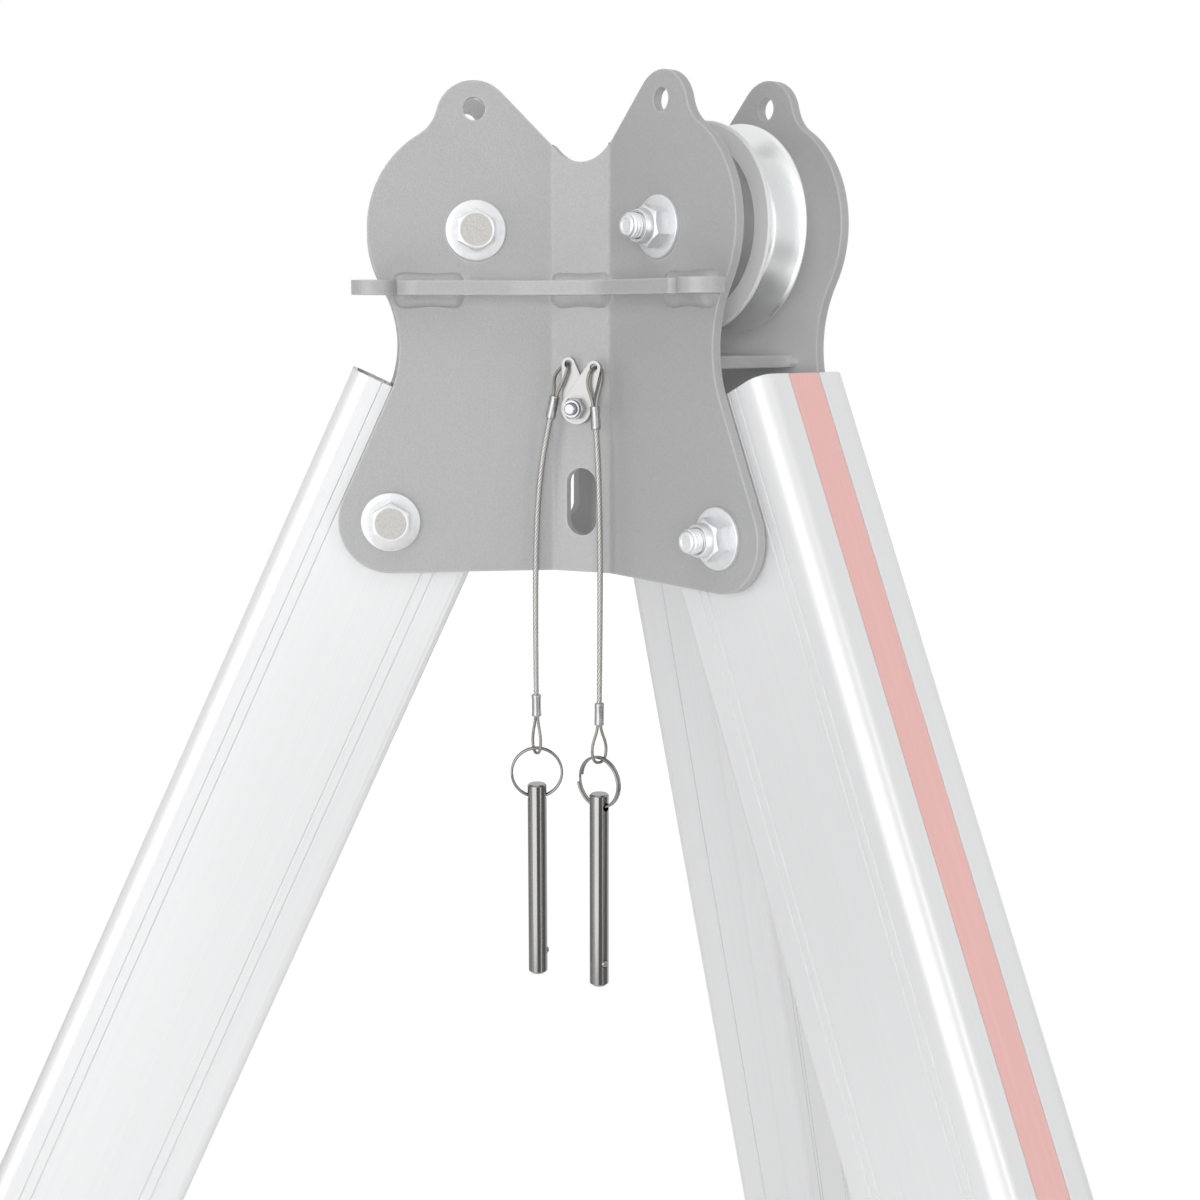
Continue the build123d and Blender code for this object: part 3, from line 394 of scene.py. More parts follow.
def hexagon_bar(name, thick):
    """Length of hexagon bar up the Z axis from its own floor, with the corners of its top turned off."""
    bpy.ops.object.select_all(action="DESELECT")
    bpy.ops.mesh.primitive_cylinder_add(
        vertices=6,
        radius=hex_flats / 2 / cos(radians(30)),
        depth=thick,
        location=(0, 0, thick / 2),
    )
    bar = bpy.context.view_layer.objects.active
    bar.name = name
    bpy.ops.object.transform_apply(location=True, rotation=True, scale=True)
    bpy.ops.object.select_all(action="DESELECT")
    bpy.ops.mesh.primitive_cone_add(
        vertices=72,
        radius1=0.48 * hex_flats + thick * tan(radians(60)),
        radius2=0.48 * hex_flats,
        depth=thick,
        location=(0, 0, thick / 2),
    )
    turning = bpy.context.view_layer.objects.active
    only(bar)
    corners = bar.modifiers.new("corners", "BOOLEAN")
    corners.operation = "INTERSECT"
    corners.solver = "EXACT"
    corners.object = turning
    bpy.ops.object.modifier_apply(modifier="corners")
    bpy.data.objects.remove(turning)
    only(bar)
    return bar


def select_top(piece, height):
    """Goes into edit mode with only the faces at a height selected."""
    bpy.ops.object.mode_set(mode="EDIT")
    bpy.ops.mesh.select_mode(type="FACE")
    bpy.ops.mesh.select_all(action="DESELECT")
    bpy.ops.object.mode_set(mode="OBJECT")
    for face in piece.data.polygons:
        face.select = abs(face.center.z - height) < 0.00001 and face.normal.z > 0.99
    bpy.ops.object.mode_set(mode="EDIT")


def drawn_up(rise, grow=1.0):
    """Extrudes the selected face by a rise along Z and then widens or narrows it about the axis."""
    move = {"value": (0, 0, rise), "orient_type": "GLOBAL"}
    bpy.ops.mesh.extrude_region_move(TRANSFORM_OT_translate=move)
    bpy.ops.transform.resize(value=(grow, grow, 1), center_override=(0, 0, 0))


def wound_thread(name, crest, pitch, turns):
    """Thread up the Z axis from the floor of its own place: a three-cornered tooth wound round it."""
    bpy.ops.object.select_all(action="DESELECT")
    bpy.ops.mesh.primitive_circle_add(
        vertices=3,
        radius=pitch / 2,
        location=(crest - pitch / 2, 0, pitch / 2),
        rotation=(pi / 2, pi / 2, 0),
    )
    thread = bpy.context.view_layer.objects.active
    thread.name = name
    bpy.ops.object.transform_apply(location=True, rotation=True, scale=True)
    winding = thread.modifiers.new("winding", "SCREW")
    winding.axis = "Z"
    winding.screw_offset = pitch
    winding.iterations = turns
    winding.steps = 28
    winding.render_steps = 28
    bpy.ops.object.modifier_apply(modifier="winding")
    bpy.ops.object.mode_set(mode="EDIT")
    bpy.ops.mesh.select_all(action="SELECT")
    bpy.ops.mesh.remove_doubles(threshold=0.000001)
    bpy.ops.mesh.fill_holes(sides=3)
    bpy.ops.mesh.normals_make_consistent(inside=False)
    bpy.ops.object.mode_set(mode="OBJECT")
    return thread


def hex_bolt(name):
    """Bolt up the Z axis from under its head, with its shank and thread down below the floor."""
    head = hexagon_bar(name, head_thick)
    select_top(head, head_thick)
    drawn_up(0.0, 0.92)
    drawn_up(-dish_deep, 0.98)
    bpy.ops.object.mode_set(mode="OBJECT")
    head.data.materials.append(zinc)
    head.data.materials.append(forged)
    for face in head.data.polygons:
        face.material_index = 1 if face.select else 0
    bpy.ops.object.select_all(action="DESELECT")
    bpy.ops.mesh.primitive_circle_add(vertices=40, radius=thread_crest, fill_type="NGON")
    shank = bpy.context.view_layer.objects.active
    bpy.ops.object.mode_set(mode="EDIT")
    bpy.ops.mesh.select_all(action="SELECT")
    drawn_up(-2 * bolt_seat)
    drawn_up(-thread_run_out, thread_core / thread_crest)
    drawn_up(bolt_tip + bolt_seat + thread_run_out + tip_bevel)
    drawn_up(-tip_bevel, 0.84)
    drawn_up(0.0, 0.72)
    drawn_up(tip_dimple, 0.9)
    bpy.ops.mesh.select_all(action="SELECT")
    bpy.ops.mesh.normals_make_consistent(inside=False)
    bpy.ops.object.mode_set(mode="OBJECT")
    thread = wound_thread("thread", thread_crest, thread_pitch, thread_turns)
    thread.location.z = bolt_tip - bolt_seat + tip_clear
    for piece in (shank, thread):
        piece.data.materials.append(zinc)
        piece.select_set(True)
    head.select_set(True)
    bpy.context.view_layer.objects.active = head
    bpy.ops.object.join()
    return head


def lock_nut(name):
    """Nut up the Z axis from its seat: a hexagon, a collar rolled over a nylon ring, and the bore."""
    nut = hexagon_bar(name, nut_thick)
    select_top(nut, nut_thick)
    drawn_up(0.0, 0.955)
    drawn_up(nut_collar * 0.75, 0.97)
    drawn_up(nut_collar * 0.25, 0.93)
    drawn_up(0.0, 0.92)
    drawn_up(-nylon_sunk)
    bpy.ops.object.mode_set(mode="OBJECT")
    nut.data.materials.append(zinc)
    nut.data.materials.append(nylon)
    for face in nut.data.polygons:
        face.material_index = 1 if face.select else 0
    select_top(nut, nut_thick + nut_collar - nylon_sunk)
    drawn_up(0.0, 0.9)
    drawn_up(-bore_deep)
    bpy.ops.object.mode_set(mode="OBJECT")
    return nut


def punched_washer(name):
    """Washer up the Z axis from its seat: a flat section with its upper corners rounded, spun round."""
    bpy.ops.object.select_all(action="DESELECT")
    bpy.ops.mesh.primitive_plane_add(
        size=1.0,
        location=((washer_inside + washer_outside) / 2, 0, washer_thick / 2),
        rotation=(pi / 2, 0, 0),
    )
    ring = bpy.context.view_layer.objects.active
    ring.name = name
    ring.scale = (washer_outside - washer_inside, washer_thick, 1)
    bpy.ops.object.transform_apply(location=True, rotation=True, scale=True)
    for vertex in ring.data.vertices:
        vertex.select = vertex.co.z > washer_thick / 2
    bpy.ops.object.mode_set(mode="EDIT")
    bpy.ops.mesh.select_mode(type="VERT")
    bpy.ops.mesh.bevel(offset=washer_round, segments=3, affect="VERTICES")
    bpy.ops.mesh.select_all(action="SELECT")
    bpy.ops.mesh.delete(type="ONLY_FACE")
    bpy.ops.mesh.select_all(action="SELECT")
    bpy.ops.mesh.spin(steps=56, angle=2 * pi, center=(0, 0, 0), axis=(0, 0, 1))
    bpy.ops.mesh.select_all(action="SELECT")
    bpy.ops.mesh.remove_doubles(threshold=0.000001)
    bpy.ops.mesh.normals_make_consistent(inside=False)
    bpy.ops.object.mode_set(mode="OBJECT")
    ring.data.materials.append(zinc)
    return ring


bolt_pattern = hex_bolt("bolt_pattern")
nut_pattern = lock_nut("nut_pattern")
washer_pattern = punched_washer("washer_pattern")
for name, (azimuth, radius, height, node) in bolt_places.items():
    head_way = heading(azimuth + 90)
    head_turned = head_way.to_track_quat("Z", "Y").to_matrix().to_4x4()
    head_seat = Matrix.Translation(head_spot(azimuth, radius, bolt_seat, height))
    bolt = copy_of(bolt_pattern, f"{name}_bolt")
    set_in(bolt, head_seat @ head_turned, smooth=30)
    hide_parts(node)
    nut_turned = (-head_way).to_track_quat("Z", "Y").to_matrix().to_4x4()
    nut_turned = nut_turned @ Matrix.Rotation(radians(nut_turn[name]), 4, "Z")
    nut_seat = Matrix.Translation(head_spot(azimuth, radius, -bolt_seat, height))
    nut = copy_of(nut_pattern, f"{name}_nut")
    set_in(nut, nut_seat @ nut_turned, smooth=30)
    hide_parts("lock_nuts")
    head_plate = Matrix.Translation(head_spot(azimuth, radius, lobe_face, height))
    nut_plate = Matrix.Translation(head_spot(azimuth, radius, -lobe_face, height))
    for end, seat in (("head", head_plate @ head_turned), ("nut", nut_plate @ nut_turned)):
        washer = copy_of(washer_pattern, f"{name}_{end}_washer")
        set_in(washer, seat, smooth=30)
        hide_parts("plain_washers")
bpy.data.objects.remove(bolt_pattern)
bpy.data.objects.remove(nut_pattern)
bpy.data.objects.remove(washer_pattern)

# Legs: two aluminium extrusions that slide in each other, clear anodised, with drawing lines along them.
# A red plastic strip lies in the outer face; plastic bushes and a guide keep the tubes apart.
tube_silver = (0.74, 0.743, 0.75)
stripe_red = (0.8, 0.471, 0.449)
guide_plastic, tree, shader = new_finish("guide_plastic")
moulded = grain(tree, 900.0, detail=2.0)
guide_black = tint(tree, grain(tree, 90.0), (0.2, 0.2, 0.21, 1), (0.25, 0.25, 0.26, 1))
tree.links.new(guide_black, shader.inputs["Base Color"])
tree.links.new(spread(tree, moulded, 0.5, 0.62), shader.inputs["Roughness"])
relief(tree, shader, moulded, 0.0001, 0.2)
bush_plastic, tree, shader = new_finish("bush_plastic")
bush_white = tint(tree, grain(tree, 120.0), (0.64, 0.64, 0.62, 1), (0.7, 0.7, 0.68, 1))
tree.links.new(bush_white, shader.inputs["Base Color"])
shader.inputs["Roughness"].default_value = 0.5
for leg, azimuth in leg_azimuth.items():
    leg_turn = (0, radians(-leg_lean), radians(azimuth))
    anodised, tree, shader = new_finish(f"{leg}_anodised_tube")
    drawn = grain(tree, 1400.0, detail=2.0, place=own_place(tree, turn=leg_turn, stretch=(1, 1, 900)))
    silver = tint(tree, drawn, shade(tube_silver, 0.985), shade(tube_silver, 1.015))
    tree.links.new(silver, shader.inputs["Base Color"])
    tree.links.new(spread(tree, drawn, 0.32, 0.38), shader.inputs["Roughness"])
    shader.inputs["Metallic"].default_value = 0.3
    relief(tree, shader, drawn, 0.00002, 0.1, edge_round=0.0005)
    dress(anodised, f"{leg}_leg_tube", f"{leg}_inner_leg")
    strip, tree, shader = new_finish(f"{leg}_stripe")
    rolled = grain(tree, 500.0, detail=3.0, place=own_place(tree, turn=leg_turn, stretch=(1, 1, 40)))
    red = tint(tree, rolled, shade(stripe_red, 0.98), shade(stripe_red, 1.02))
    tree.links.new(red, shader.inputs["Base Color"])
    tree.links.new(spread(tree, rolled, 0.4, 0.5), shader.inputs["Roughness"])
    relief(tree, shader, rolled, 0.00005, 0.2)
    dress(strip, f"{leg}_leg_stripe")
    dress(guide_plastic, f"{leg}_leg_guide")
    dress(bush_plastic, f"{leg}_leg_bushes")

# Feet: a cast aluminium yoke in each inner leg, a shoe that tilts on a headed pin, and a rubber pad.
# A spring pin through both tubes locks the leg's length.
cast, tree, shader = new_finish("cast_aluminium")
sand = grain(tree, 600.0, detail=4.0)
tree.links.new(tint(tree, sand, (0.46, 0.47, 0.48, 1), (0.55, 0.56, 0.57, 1)), shader.inputs["Base Color"])
tree.links.new(spread(tree, sand, 0.4, 0.55), shader.inputs["Roughness"])
shader.inputs["Metallic"].default_value = 0.6
relief(tree, shader, sand, 0.0002, 0.3, edge_round=0.0008)
rubber, tree, shader = new_finish("pad_rubber")
pebble = grain(tree, 1100.0, detail=2.0)
# The rubber's own tone, dusty and varying at random.
dust_and_painted_fill = tint(tree, grain(tree, 40.0, 4.0), (0.04, 0.04, 0.042, 1), (0.06, 0.06, 0.062, 1))
tree.links.new(dust_and_painted_fill, shader.inputs["Base Color"])
tree.links.new(spread(tree, pebble, 0.7, 0.85), shader.inputs["Roughness"])
relief(tree, shader, pebble, 0.0003, 0.35, edge_round=0.001)
polished, tree, shader = new_finish("polished_steel")
ground = grain(tree, 900.0, detail=2.0, place=own_place(tree, stretch=(1, 1, 30)))
steel_grey = tint(tree, ground, (0.26, 0.257, 0.25, 1), (0.29, 0.287, 0.28, 1))
tree.links.new(steel_grey, shader.inputs["Base Color"])
tree.links.new(spread(tree, ground, 0.1, 0.14), shader.inputs["Roughness"])
shader.inputs["Metallic"].default_value = 1.0
relief(tree, shader, ground, 0.000002, 0.05)
for leg in leg_azimuth:
    dress(cast, f"{leg}_foot_yoke", f"{leg}_foot_shoe")
    dress(zinc, f"{leg}_foot_pin")
    dress(rubber, f"{leg}_foot_pad")
    dress(polished, f"{leg}_lock_pin")

# Lanyard tabs: two stainless tabs crossed under one small nut on the front strip, bright and fine brushed.
# The bolt comes through the strip from behind and a spacer keeps the tabs off the paint.
tab_crest = 0.00318
tab_pitch = 0.001
tab_steel, tree, shader = new_finish("tab_steel")
brushed = grain(tree, 2500.0, detail=2.0, place=own_place(tree, stretch=(1, 1, 12)))
brushed_tint = tint(tree, brushed, (0.39, 0.388, 0.382, 1), (0.45, 0.448, 0.442, 1))
# Painted highlight: a paler steel along the tabs' edges, where they would catch the light.
painted_edge_highlight = laid_over(tree, edge_highlight_factor(tree, 0.0005), brushed_tint, (0.6, 0.6, 0.59, 1))
tree.links.new(painted_edge_highlight, shader.inputs["Base Color"])
tree.links.new(spread(tree, brushed, 0.36, 0.46), shader.inputs["Roughness"])
shader.inputs["Metallic"].default_value = 0.85
relief(tree, shader, brushed, 0.00003, 0.15, edge_round=0.0004)
dress(tab_steel, "lanyard_tabs")
stainless, tree, shader = new_finish("nut_stainless")
drawn_bar = grain(tree, 900.0, detail=2.0)
bar_tint = tint(tree, drawn_bar, (0.4, 0.403, 0.412, 1), (0.45, 0.453, 0.462, 1))
# Painted highlight: a paler steel along the nut's and bolt's edges, where they would catch the light.
painted_edge_highlight = laid_over(tree, edge_highlight_factor(tree, 0.0004), bar_tint, (0.65, 0.65, 0.66, 1))
tree.links.new(painted_edge_highlight, shader.inputs["Base Color"])
tree.links.new(spread(tree, drawn_bar, 0.24, 0.32), shader.inputs["Roughness"])
shader.inputs["Metallic"].default_value = 0.9
relief(tree, shader, drawn_bar, 0.00002, 0.1, edge_round=0.0004)
dress(stainless, "tab_bolt", "tab_nut", "tab_spacer")
bolt_low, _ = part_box("tab_bolt")
nut_low, nut_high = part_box("tab_nut")
tab_axle = Vector(((nut_low[0] + nut_high[0]) / 2, nut_low[1], (nut_low[2] + nut_high[2]) / 2))
tab_turns = int((nut_low[1] - bolt_low[1]) / tab_pitch) - 1
tab_thread = wound_thread("tab_thread", tab_crest, tab_pitch, tab_turns)
forwards = heading(270).to_track_quat("Z", "Y").to_matrix().to_4x4()
tab_thread.data.materials.append(stainless)
set_in(tab_thread, Matrix.Translation(tab_axle) @ forwards)

# Lanyards: stainless wire rope, six strands of six wires, with a thinner wire eye at each end.
# Rope and eyes are held by aluminium ferrules that a press has waisted; the eyes go through tab and ring.
rope_across = 0.003
rope_lay = 0.014
strand_lay = -0.006
laid_count = 6
eye_across = 0.0016
eye_lay = 0.009
eye_gap = 0.001
eye_foot = 0.0025
ring_drop = 0.017
# One side of a lower eye: shares of its half width, and heights over the top of the ring.
eye_bows = [(1.05, 0.0065), (1.0, 0.0005), (0.5, -0.0027)]
ferrule_round = 0.0025
ferrule_long = 0.0115
ferrule_waist = (0.93, 0.97, 1)
ferrule_rim = 0.0004
rope_route = {
    "left": [
        (-13.4, 8.3, 51.8),
        (-15.7, 8.8, 41.0),
        (-17.7, 9.3, 29.0),
        (-20.0, 9.5, 9.0),
        (-21.4, 9.3, -17.0),
        (-21.9, 9.1, -54.0),
        (-21.6, 9.3, -90.2),
    ],
    "right": [
        (11.8, 9.1, 46.9),
        (12.5, 9.4, 37.0),
        (13.2, 9.6, 27.0),
        (13.8, 9.6, 7.0),
        (14.1, 9.4, -19.0),
        (13.9, 9.2, -55.8),
        (13.6, 9.3, -91.8),
    ],
}
upper_eye_route = {
    "left": [
        (-6.9, 7.2, 69.8),
        (-4.4, 7.2, 76.4),
        (-5.0, 4.0, 78.8),
        (-6.6, 1.6, 79.2),
        (-9.9, 1.8, 77.4),
        (-13.0, 4.3, 72.8),
    ],
    "right": [
        (6.9, 9.5, 69.0),
        (8.2, 9.4, 75.2),
        (9.7, 6.2, 77.2),
        (11.2, 3.7, 77.6),
        (13.2, 4.1, 75.6),
        (13.5, 6.3, 69.5),
    ],
}
eye_azimuth = {"left": 334, "right": 237}
eye_half = {"left": 0.0031, "right": 0.0042}


def before_strip(points):
    """Route points given in millimetres across, out from the strip's face and over the pivot bolts."""
    return [Vector((x / 1000, -strip_face - out / 1000, pivot_height + z / 1000)) for x, out, z in points]


def smooth_line(name, points):
    """Points along a smooth curve that has the route's points as its control points."""
    curve = bpy.data.curves.new(name, "CURVE")
    curve.dimensions = "3D"
    curve.resolution_u = 30
    spline = curve.splines.new("NURBS")
    spline.points.add(len(points) - 1)
    for point, place in zip(spline.points, points):
        point.co = (*place, 1.0)
    spline.order_u = 3
    spline.use_endpoint_u = True
    line = bpy.data.objects.new(name, curve)
    bpy.context.scene.collection.objects.link(line)
    mesh = bpy.data.meshes.new_from_object(line)
    places = [vertex.co.copy() for vertex in mesh.vertices]
    bpy.data.objects.remove(line)
    bpy.data.meshes.remove(mesh)
    return places


def laid_round(line, count, out, lay):
    """Lines that turn round a line at a distance out, once in each lay length."""
    aside = (line[1] - line[0]).orthogonal().normalized()
    turning = [[] for _ in range(count)]
    run = 0.0
    for index, place in enumerate(line):
        before = line[max(index - 1, 0)]
        after = line[min(index + 1, len(line) - 1)]
        along = (after - before).normalized()
        aside = (aside - along * aside.dot(along)).normalized()
        beside = along.cross(aside)
        run += (place - before).length
        for number, places in enumerate(turning):
            turn = 2 * pi * (run / lay + number / count)
            places.append(place + (aside * cos(turn) + beside * sin(turn)) * out)
    return turning


def note_outward(laid, middle):
    """Notes at each point of laid wires the way out from their middle line."""
    outward = laid.data.attributes.new("outward", "FLOAT_VECTOR", "POINT")
    near = KDTree(len(middle))
    for step, place in enumerate(middle):
        near.insert(place, step)
    near.balance()
    last = len(middle) - 1
    for vertex in laid.data.vertices:
        place, step, _ = near.find(vertex.co)
        along = (middle[min(step + 1, last)] - middle[max(step - 1, 0)]).normalized()
        out = vertex.co - place
        outward.data[vertex.index].vector = (out - along * out.dot(along)).normalized()


def wire_mesh(name, lines, wire_round, middle):
    """Round wires along lines, as one mesh that notes the way out from the middle line."""
    curve = bpy.data.curves.new(name, "CURVE")
    curve.dimensions = "3D"
    curve.bevel_depth = wire_round
    curve.bevel_resolution = 1
    curve.use_fill_caps = True
    for places in lines:
        spline = curve.splines.new("POLY")
        spline.points.add(len(places) - 1)
        for point, place in zip(spline.points, places):
            point.co = (*place, 1.0)
    wires = bpy.data.objects.new(name, curve)
    bpy.context.scene.collection.objects.link(wires)
    only(wires)
    bpy.ops.object.convert(target="MESH")
    laid = bpy.context.view_layer.objects.active
    note_outward(laid, middle)
    return laid


def pressed_ferrule(name):
    """Sleeve up the Z axis from its own floor: rolled rims, and a waist pressed flat on two sides."""
    bpy.ops.object.select_all(action="DESELECT")
    bpy.ops.mesh.primitive_cylinder_add(
        vertices=20, radius=ferrule_round, depth=ferrule_long, location=(0, 0, ferrule_long / 2)
    )
    sleeve = bpy.context.view_layer.objects.active
    sleeve.name = name
    bpy.ops.object.transform_apply(location=True, rotation=True, scale=True)
    bpy.ops.object.mode_set(mode="EDIT")
    for share in (0.1, 0.2, 0.5, 0.8, 0.9):
        bpy.ops.mesh.select_all(action="SELECT")
        bpy.ops.mesh.bisect(plane_co=(0, 0, ferrule_long * share), plane_no=(0, 0, 1))
    bpy.ops.mesh.select_all(action="DESELECT")
    bpy.ops.object.mode_set(mode="OBJECT")
    for vertex in sleeve.data.vertices:
        vertex.select = ferrule_long * 0.15 < vertex.co.z < ferrule_long * 0.85
    bpy.ops.object.mode_set(mode="EDIT")
    bpy.ops.mesh.select_mode(type="VERT")
    bpy.ops.transform.resize(value=ferrule_waist, center_override=(0, 0, ferrule_long / 2))
    bpy.ops.object.mode_set(mode="OBJECT")
    rounding = sleeve.modifiers.new("rounding", "BEVEL")
    rounding.width = ferrule_rim
    rounding.segments = 2
    rounding.limit_method = "ANGLE"
    rounding.angle_limit = radians(50)
    bpy.ops.object.modifier_apply(modifier="rounding")
    return sleeve


def wire_with_gap_shade(name, dark, light, lay_gap):
    """Finish of a laid wire rope: a round bundle of bright wires, with painted shade darkening the gaps
    between them.
    """
    material, tree, shader = new_finish(name)
    # Painted shade: the wires' colour darkens where they hide each other in the gaps of the lay.
    gap = tree.nodes.new("ShaderNodeAmbientOcclusion")
    gap.samples = 8
    gap.only_local = True
    gap.inputs["Distance"].default_value = lay_gap
    tree.links.new(tint(tree, gap.outputs["AO"], dark, light, 0.48, 0.9), shader.inputs["Base Color"])
    tree.links.new(spread(tree, grain(tree, 900.0), 0.3, 0.42), shader.inputs["Roughness"])
    shader.inputs["Metallic"].default_value = 0.85
    outward = tree.nodes.new("ShaderNodeAttribute")
    outward.attribute_name = "outward"
    wire_face = tree.nodes.new("ShaderNodeNewGeometry")
    bundle_face = tree.nodes.new("ShaderNodeMix")
    bundle_face.data_type = "VECTOR"
    bundle_face.inputs["Factor"].default_value = 0.65
    wire_socket, out_socket = bundle_face.inputs[4], bundle_face.inputs[5]
    tree.links.new(wire_face.outputs["Normal"], wire_socket)
    tree.links.new(outward.outputs["Vector"], out_socket)
    even = tree.nodes.new("ShaderNodeVectorMath")
    even.operation = "NORMALIZE"
    tree.links.new(bundle_face.outputs[1], even.inputs[0])
    tree.links.new(even.outputs["Vector"], shader.inputs["Normal"])
    return material


rope_wire = wire_with_gap_shade("rope_wire", (0.08, 0.078, 0.074, 1), (0.57, 0.565, 0.55, 1), 0.0006)
eye_wire = wire_with_gap_shade("eye_wire", (0.05, 0.048, 0.043, 1), (0.37, 0.354, 0.325, 1), 0.0004)
ferrule_metal, tree, shader = new_finish("ferrule_aluminium")
press_marks = grain(tree, 1200.0, detail=3.0, place=own_place(tree, stretch=(1, 1, 5)))
pressed_tint = tint(tree, press_marks, (0.36, 0.36, 0.365, 1), (0.45, 0.45, 0.455, 1))
tree.links.new(pressed_tint, shader.inputs["Base Color"])
tree.links.new(spread(tree, press_marks, 0.2, 0.32), shader.inputs["Roughness"])
shader.inputs["Metallic"].default_value = 0.9
relief(tree, shader, press_marks, 0.00002, 0.25)
sleeve = pressed_ferrule("ferrule")
for side, hand in (("left", -1), ("right", 1)):
    route = before_strip(rope_route[side])
    line = smooth_line(f"{side}_rope_line", route)
    wires = []
    for strand in laid_round(line, laid_count, rope_across / 3, rope_lay):
        wires += laid_round(strand, laid_count, rope_across / 9, strand_lay)
    rope = wire_mesh(f"{side}_rope", wires, rope_across / 15, line)
    rope.data.materials.append(rope_wire)
    set_in(rope, Matrix(), smooth=65)
    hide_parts(f"{side}_lanyard_cable")

    rise = (route[0] - route[1]).normalized()
    fall = (route[-1] - route[-2]).normalized()
    upper_end = route[0] + rise * ferrule_long
    lower_end = route[-1] + fall * ferrule_long
    apart = rise.cross(Vector((0, hand, 0))).normalized() * eye_gap
    eye_way = heading(eye_azimuth[side])
    eye_wide = eye_way * eye_half[side]
    ring_top = lower_end + Vector((0, 0, -ring_drop))
    across_eye = (eye_way - fall * eye_way.dot(fall)).normalized() * eye_gap
    upper_eye = [
        upper_end + apart,
        upper_end + apart + rise * eye_foot,
        *before_strip(upper_eye_route[side]),
        upper_end - apart + rise * eye_foot,
        upper_end - apart,
    ]
    going = [ring_top + eye_wide * bow + Vector((0, 0, height)) for bow, height in eye_bows]
    coming = [ring_top - eye_wide * bow + Vector((0, 0, height)) for bow, height in eye_bows[::-1]]
    lower_eye = [
        lower_end + across_eye,
        lower_end + across_eye + fall * eye_foot,
        *going,
        *coming,
        lower_end - across_eye + fall * eye_foot,
        lower_end - across_eye,
    ]
    for end, eye_route in (("upper", upper_eye), ("lower", lower_eye)):
        eye_line = smooth_line(f"{side}_{end}_eye_line", eye_route)
        eye_wires = laid_round(eye_line, laid_count, eye_across / 3, eye_lay)
        eye = wire_mesh(f"{side}_{end}_eye", eye_wires, eye_across / 6, eye_line)
        eye.data.materials.append(eye_wire)
        set_in(eye, Matrix(), smooth=65)
        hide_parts(f"{side}_lanyard_cable")
    for end, foot, way in (("upper", route[0], rise), ("lower", route[-1], fall)):
        stand = Matrix.Translation(foot) @ way.to_track_quat("Z", "Y").to_matrix().to_4x4()
        ferrule = copy_of(sleeve, f"{side}_{end}_ferrule")
        ferrule.data.materials.append(ferrule_metal)
        set_in(ferrule, stand)
        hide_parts(f"{side}_lanyard_ferrules")
bpy.data.objects.remove(sleeve)

# Keeper pins: ground and polished steel with a spring ball near the tip, each hung on a split ring.
# They go through the ears over the pulleys when the tripod is rigged.
for side in ("left", "right"):
    dress(polished, f"{side}_pin_ring", f"{side}_pin", f"{side}_pin_ball")

# Studio: a wide pale floor and a white surround, lit by soft boxes in front, above and behind the head.
# Low grey cards stand round it for the shiny surfaces to mirror.
# The floor takes light and shadow from above, but legs that are folded or drawn out below it still show.
floor_glow = 1.06
surround_white = 1.0
fill_light = 0.24
card_tall = 0.95
card_distance = 2.3
bpy.ops.object.select_all(action="DESELECT")
bpy.ops.mesh.primitive_plane_add(size=80.0, location=(0, 0, -0.0005))
floor = bpy.context.view_layer.objects.active
floor.name = "floor"
pale, tree, shader = new_finish("floor_pale")
shader.inputs["Base Color"].default_value = (0.9, 0.9, 0.9, 1)
shader.inputs["Roughness"].default_value = 0.9
glow = tree.nodes.new("ShaderNodeEmission")
glow.inputs["Strength"].default_value = floor_glow
from_middle = tree.nodes.new("ShaderNodeVectorMath")
from_middle.operation = "LENGTH"
tree.links.new(own_place(tree), from_middle.inputs[0])
far_share = spread(tree, from_middle.outputs["Value"], 0.9, 1.0, low=2.0, high=5.0)
seen = tree.nodes.new("ShaderNodeLightPath")
either = tree.nodes.new("ShaderNodeMath")
either.operation = "MAXIMUM"
share = tree.nodes.new("ShaderNodeMath")
share.operation = "MULTIPLY"
tree.links.new(far_share, share.inputs[1])
white = tree.nodes.new("ShaderNodeMixShader")
clear = tree.nodes.new("ShaderNodeBsdfTransparent")
haze = tree.nodes.new("ShaderNodeEmission")
haze.inputs["Strength"].default_value = floor_glow - surround_white
hazy = tree.nodes.new("ShaderNodeAddShader")
behind = tree.nodes.new("ShaderNodeMixShader")
floor_side = tree.nodes.new("ShaderNodeNewGeometry")
one_sided = tree.nodes.new("ShaderNodeMixShader")
tree.links.new(seen.outputs["Is Camera Ray"], either.inputs[0])
tree.links.new(seen.outputs["Is Glossy Ray"], either.inputs[1])
tree.links.new(either.outputs[0], share.inputs[0])
tree.links.new(share.outputs[0], white.inputs["Fac"])
tree.links.new(shader.outputs["BSDF"], white.inputs[1])
tree.links.new(clear.outputs["BSDF"], hazy.inputs[0])
tree.links.new(haze.outputs["Emission"], hazy.inputs[1])
tree.links.new(seen.outputs["Is Camera Ray"], behind.inputs["Fac"])
tree.links.new(glow.outputs["Emission"], behind.inputs[1])
tree.links.new(hazy.outputs["Shader"], behind.inputs[2])
tree.links.new(behind.outputs["Shader"], white.inputs[2])
tree.links.new(floor_side.outputs["Backfacing"], one_sided.inputs["Fac"])
tree.links.new(white.outputs["Shader"], one_sided.inputs[1])
tree.links.new(clear.outputs["BSDF"], one_sided.inputs[2])
tree.links.new(one_sided.outputs["Shader"], tree.nodes["Material Output"].inputs["Surface"])
floor.data.materials.append(pale)

